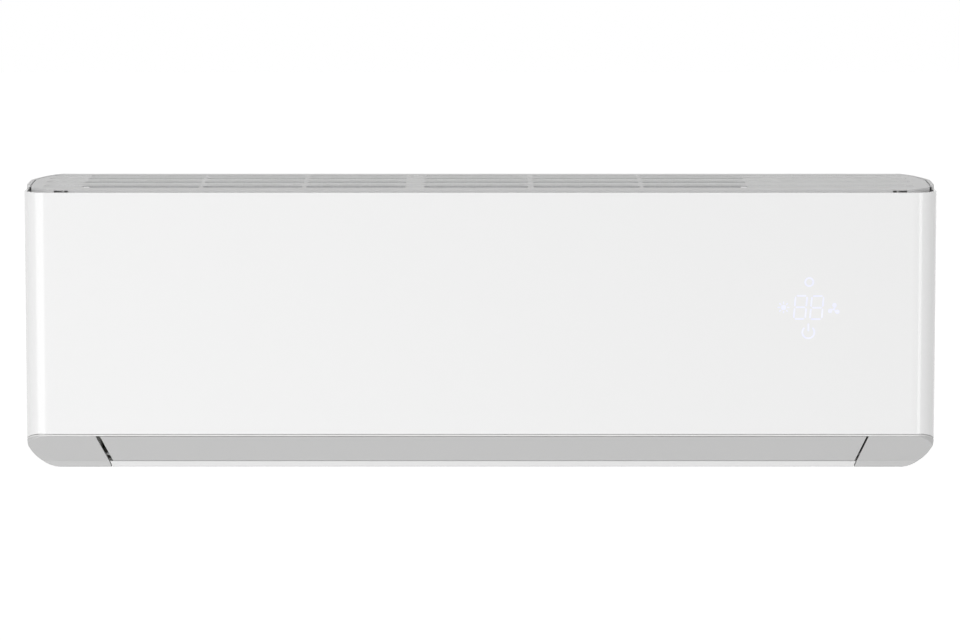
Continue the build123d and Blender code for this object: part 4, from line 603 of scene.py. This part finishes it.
def fin_bank(node, start, end):
    """Fins: corners = start + a x along + b x across, at every pitch in X. Tubes: circles along X."""
    low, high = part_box(node)
    start, end = np.array(start), np.array(end)
    length = np.linalg.norm(end - start)
    along = (end - start) / length
    across = np.array([-along[1], along[0]])
    half = COIL_DEPTH / 2
    corners = np.array([(0, -half), (length, -half), (length, half), (0, half)])
    outline = start + corners[:, :1] * along + corners[:, 1:] * across
    stations = np.arange(low.x, high.x - FIN_T, FIN_PITCH)
    rings = np.empty((len(stations), 2, 4, 3))
    rings[:, 0, :, 0], rings[:, 1, :, 0] = stations[:, None], stations[:, None] + FIN_T
    rings[..., 1:] = outline
    rows = np.arange(1, int((length - TUBE_PITCH / 2) // TUBE_PITCH) + 1) * TUBE_PITCH
    centres = np.array([(a, b) for b in (-ROW_PITCH / 2, ROW_PITCH / 2) for a in rows])
    turn = np.linspace(0, 2 * math.pi, TUBE_SIDES, endpoint=False)
    circle = TUBE_R * np.stack([np.cos(turn), np.sin(turn)], -1)
    spots = start + centres[:, :1] * along + centres[:, 1:] * across
    tubes = np.empty((len(spots), 2, TUBE_SIDES, 3))
    tubes[:, 0, :, 0], tubes[:, 1, :, 0] = low.x, high.x
    tubes[..., 1:] = (spots[:, None] + circle[None])[:, None]
    made = as_piece(f"{node}_fins", *merge([solid_rows(rings), solid_rows(tubes)]), "case", "fin_aluminium")
    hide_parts(node)


for node, (start, end) in BANKS.items():
    fin_bank(node, start, end)

# %% [markdown]
# ## The display behind the panel
#
# The panel has no window. Light-emitting segments on a board shine through its thin white wall, so
# the marks seem to float in it: a ring, two seven-segment digits, a sun on the left, a three-bladed
# fan on the right and the usual power sign below. Each mark is a flat ribbon along a path, let a
# millimetre into the panel's face and 0.12 mm proud of it. Places are in millimetres on the panel,
# (X, Z).

# %% The light of the marks
def display_light():
    """White plastic that also gives off a cool light of its own, a little uneven like real diodes."""
    tree, shader = blank("display_light")
    place = put(tree, "ShaderNodeTexCoord").outputs["Object"]
    uneven = put(tree, "ShaderNodeTexNoise", Scale=120.0, Detail=1.0)
    wire(tree, place, uneven.inputs["Vector"])
    glow = mixed(tree, uneven.outputs["Fac"], screen(229, 231, 255), screen(246, 247, 255))
    wire(tree, glow, shader.inputs["Emission Color"])
    wire(tree, glow, shader.inputs["Base Color"])
    shader.inputs["Emission Strength"].default_value = 0.12
    shader.inputs["Roughness"].default_value = 0.12


display_light()

# %% Ribbons for the marks
MARK_FRONT, MARK_BACK = -0.22512, -0.2240
MM = 1000                         # millimetres in a metre
SEGMENT_GAP = 0.62                # clear end of a segment, in strokes


def ribbon(path, width, closed=False):
    """A flat band: each point moves half the width to both sides, square to the path's direction."""
    path = np.asarray(path, float)
    ahead = np.roll(path, -1, axis=0) if closed else np.concatenate([path[1:], path[-1:]])
    behind = np.roll(path, 1, axis=0) if closed else np.concatenate([path[:1], path[:-1]])
    way = ahead - behind
    way /= np.linalg.norm(way, axis=1, keepdims=True)
    side = np.stack([-way[:, 1], way[:, 0]], -1) * np.broadcast_to(width, len(path))[:, None] / 2
    section = np.stack([path - side, path + side, path + side, path - side], axis=1) / MM
    depth = np.array([MARK_FRONT, MARK_FRONT, MARK_BACK, MARK_BACK])
    rings = np.empty((1, len(path), 4, 3))
    rings[0, ..., 0], rings[0, ..., 2] = section[..., 0], section[..., 1]
    rings[0, ..., 1] = depth
    return solid_rows(rings, closed)


def arc(centre, radius, first, last, count):
    """Points on a circle between two angles in degrees, counted from +X towards +Z."""
    angle = np.radians(np.linspace(first, last, count))
    return np.array(centre) + radius * np.stack([np.cos(angle), np.sin(angle)], -1)


def digit(left, low, width, height, slant, stroke):
    """Seven segments, each a ribbon pointed at both ends. The top of the digit leans over by slant."""
    half, gap = height / 2, stroke * SEGMENT_GAP
    ends = [
        ((0, 0), (width, 0)), ((0, half), (width, half)), ((0, height), (width, height)),
        ((0, 0), (0, half)), ((width, 0), (width, half)),
        ((0, half), (0, height)), ((width, half), (width, height)),
    ]
    shapes = []
    for first, last in ends:
        first, last = np.array(first, float), np.array(last, float)
        length = np.linalg.norm(last - first)
        way = (last - first) / length
        steps = np.array([gap, gap + stroke / 2, length - gap - stroke / 2, length - gap])
        line = first + steps[:, None] * way
        line[:, 0] += slant * line[:, 1] / height
        shapes.append(ribbon(line + (left, low), stroke * np.array([0.25, 1.0, 1.0, 0.25])))
    return shapes


# %% [markdown]
# The blades of the little fan are drops: a ribbon along a short curved line, narrow at both ends and
# wide in between. The sun is a filled disc with eight rays, and a disc is a ribbon as well, bent
# round on itself until only a pinhole is left in the middle.

# %% Draw the marks
STROKE = 1.55
BLADE_POINTS, BLADE_CURL = 9, 0.55           # points along a blade, and its turn in radians
BLADE_START, BLADE_LENGTH = 1.4, 5.0
BLADE_TIP, BLADE_SWELL = 0.8, 3.6            # width at the ends, and how much wider in between
DISC_FILL = 0.98                             # share of a disc's radius that its ribbon covers


def disc(centre, radius):
    """A filled disc: a ribbon round the circle of half the radius, almost as wide as the radius."""
    return ribbon(arc(centre, radius / 2, 0, 342, 20), radius * DISC_FILL, closed=True)


def fan_blade(centre, angle):
    """A drop that starts near the centre and swells outwards, along a slightly curved line."""
    share = np.linspace(0, 1, BLADE_POINTS)
    turned = np.radians(angle) + BLADE_CURL * share
    reach = BLADE_START + BLADE_LENGTH * share
    line = np.array(centre) + reach[:, None] * np.stack([np.cos(turned), np.sin(turned)], -1)
    return ribbon(line, BLADE_TIP + BLADE_SWELL * np.sin(np.pi * share**1.4) ** 0.8)


RING, RING_RADIUS = np.array([348.6, 38.0]), 4.3
TENS_CORNER, UNITS_CORNER = (332.3, -1.2), (349.6, -1.6)
TENS_WIDTH, UNITS_WIDTH = 12.2, 12.4
DIGIT_HEIGHT, DIGIT_SLANT = 24.6, 2.0
SUN, SUN_RADIUS = np.array([321.5, 11.0]), 2.7
SUN_RAYS, RAY_REACH, RAY_WIDTH = 8, (4.0, 6.2), 1.1
FAN_MARK, FAN_HUB_RADIUS = np.array([375.0, 9.0]), 1.1
FAN_BLADE_ANGLES = (65, 185, 305)
POWER, POWER_RADIUS, POWER_BAR = np.array([348.0, -15.6]), 6.4, (1.2, 9.2)

ray_angles = np.arange(SUN_RAYS) * 2 * math.pi / SUN_RAYS
marks = [ribbon(arc(RING, RING_RADIUS, 0, 348, 30), STROKE, closed=True)]
marks += digit(*TENS_CORNER, TENS_WIDTH, DIGIT_HEIGHT, DIGIT_SLANT, STROKE)
marks += digit(*UNITS_CORNER, UNITS_WIDTH, DIGIT_HEIGHT, DIGIT_SLANT, STROKE)
marks.append(disc(SUN, SUN_RADIUS))
marks += [ribbon(SUN + np.outer(RAY_REACH, (math.cos(a), math.sin(a))), RAY_WIDTH) for a in ray_angles]
marks.append(disc(FAN_MARK, FAN_HUB_RADIUS))
marks += [fan_blade(FAN_MARK, angle) for angle in FAN_BLADE_ANGLES]
marks.append(ribbon(arc(POWER, POWER_RADIUS, 132, 408, 34), STROKE))
marks.append(ribbon([POWER + (0, height) for height in POWER_BAR], STROKE))
as_piece("display_marks", *merge(marks), "front_door", "white_gloss", "display_light")

# %% [markdown]
# ## A place to stand the camera
#
# The unit hangs on a wall, more than two metres above the floor, and the picture shows neither wall
# nor floor, only white. So the stage is a very large pale floor far below, which still takes the
# unit's shadow, and a white world. Both give the object less light than their look suggests: a mask
# of the Light Path node makes them full white only for rays from the camera, a mirror or a glass.
# The background is white that way, and nothing on the unit burns out.

# %% Floor and world
FLOOR_Z, FLOOR_HALF = -2.2, 40.0
WORLD_LIGHT = 0.45
FLOOR_GLOW = 0.62


def looks_white(tree):
    """1 for a ray from the camera, a mirror or a glass, 0 for the light that the object receives."""
    path = put(tree, "ShaderNodeLightPath")
    looks = sums(tree, "MAXIMUM", path.outputs["Is Camera Ray"], path.outputs["Is Glossy Ray"])
    return sums(tree, "MAXIMUM", looks, path.outputs["Is Transmission Ray"])


def make_floor():
    """One large square far below the unit. It looks white to the camera and keeps the shadow."""
    mesh = bpy.data.meshes.new("studio_floor")
    signs = ((-1, -1), (1, -1), (1, 1), (-1, 1))
    corners = [(x * FLOOR_HALF, y * FLOOR_HALF, FLOOR_Z) for x, y in signs]
    mesh.from_pydata(corners, [], [(0, 1, 2, 3)])
    made = bpy.data.objects.new("studio_floor", mesh)
    bpy.context.scene.collection.objects.link(made)
    tree, shader = blank("studio_floor")
    cloud = put(tree, "ShaderNodeTexNoise", Scale=0.8, Detail=2.0)
    wire(tree, put(tree, "ShaderNodeTexCoord").outputs["Object"], cloud.inputs["Vector"])
    pale = mixed(tree, cloud.outputs["Fac"], screen(240, 240, 239), screen(244, 244, 244))
    wire(tree, pale, shader.inputs["Base Color"])
    shader.inputs["Roughness"].default_value = 0.9
    wire(tree, sums(tree, "MULTIPLY", looks_white(tree), FLOOR_GLOW), shader.inputs["Emission Strength"])
    shader.inputs["Emission Color"].default_value = (1.0, 1.0, 1.0, 1.0)
    mesh.materials.append(bpy.data.materials["studio_floor"])


def make_world():
    """Plain light for the object; full white where the camera, a mirror or a glass looks at it."""
    world = bpy.data.worlds.new("studio")
    bpy.context.scene.world = world
    world.use_nodes = True
    tree = world.node_tree
    tree.nodes.clear()
    sky = put(tree, "ShaderNodeBackground", Color=(1.0, 1.0, 1.0, 1.0))
    wire(tree, level(tree, looks_white(tree), 0.0, 1.0, WORLD_LIGHT, 1.0), sky.inputs["Strength"])
    wire(tree, sky.outputs["Background"], put(tree, "ShaderNodeOutputWorld").inputs["Surface"])


make_floor()
make_world()
print("floor at", FLOOR_Z, "m")

# %% [markdown]
# Lamps: a large soft box at the left and a narrow one at the right draw the bright lines down the
# panel's rounded corners, and the left one makes the panel fade towards the right. A low one lights
# the grey band, which faces down. A weak one above gives the top its mid grey, and a high one in
# front lights the walls of its slots.


# %% Lamps
CENTRE = (0.0, -0.11, -0.01)


def soft_box(name, place, width, height, power):
    """A rectangular area lamp at a place, turned to face the unit's centre."""
    lamp = bpy.data.lights.new(name, "AREA")
    lamp.shape, lamp.size, lamp.size_y, lamp.energy = "RECTANGLE", width, height, power
    made = bpy.data.objects.new(name, lamp)
    bpy.context.scene.collection.objects.link(made)
    back = np.array(place) - np.array(CENTRE)
    made.location = place
    tilt = math.atan2(math.hypot(back[0], back[1]), back[2])
    made.rotation_euler = (tilt, 0.0, math.atan2(back[0], -back[1]))


soft_box("key_left", (-2.45, -2.46, -0.1), width=2.2, height=2.0, power=27.0)
soft_box("fill_right", (2.29, -2.6, -0.1), width=0.8, height=2.0, power=11.0)
soft_box("low_front", (0.0, -2.8, -1.6), width=3.0, height=1.0, power=17.0)
soft_box("overhead", (0.0, -0.8, 2.4), width=2.4, height=1.2, power=3.5)
soft_box("high_front", (-0.6, -2.9, 0.95), width=2.6, height=0.7, power=12.0)
print("five lamps")

# %% [markdown]
# ## The camera
#
# A camera five metres away and a little above the unit sees its top as the photograph does. At that
# distance a lens of about 177 mm on a 36 mm wide sensor gives the unit the same share of the picture.

# %% Camera
CAMERA_DISTANCE = 5.0
LENS, SENSOR_WIDTH = 176.7, 36.0
CAMERA_RISE = math.radians(6.5)
AIM = np.array([-0.0005, -0.225, -0.0025])
camera_data = bpy.data.cameras.new("camera")
camera_data.lens, camera_data.sensor_width = LENS, SENSOR_WIDTH
camera = bpy.data.objects.new("camera", camera_data)
bpy.context.scene.collection.objects.link(camera)
camera.location = AIM + CAMERA_DISTANCE * np.array([0.0, -math.cos(CAMERA_RISE), math.sin(CAMERA_RISE)])
camera.rotation_euler = (math.pi / 2 - CAMERA_RISE, 0.0, 0.0)
bpy.context.scene.camera = camera
bpy.context.scene.view_settings.view_transform = "Standard"
print("camera at", [round(v, 3) for v in camera.location])
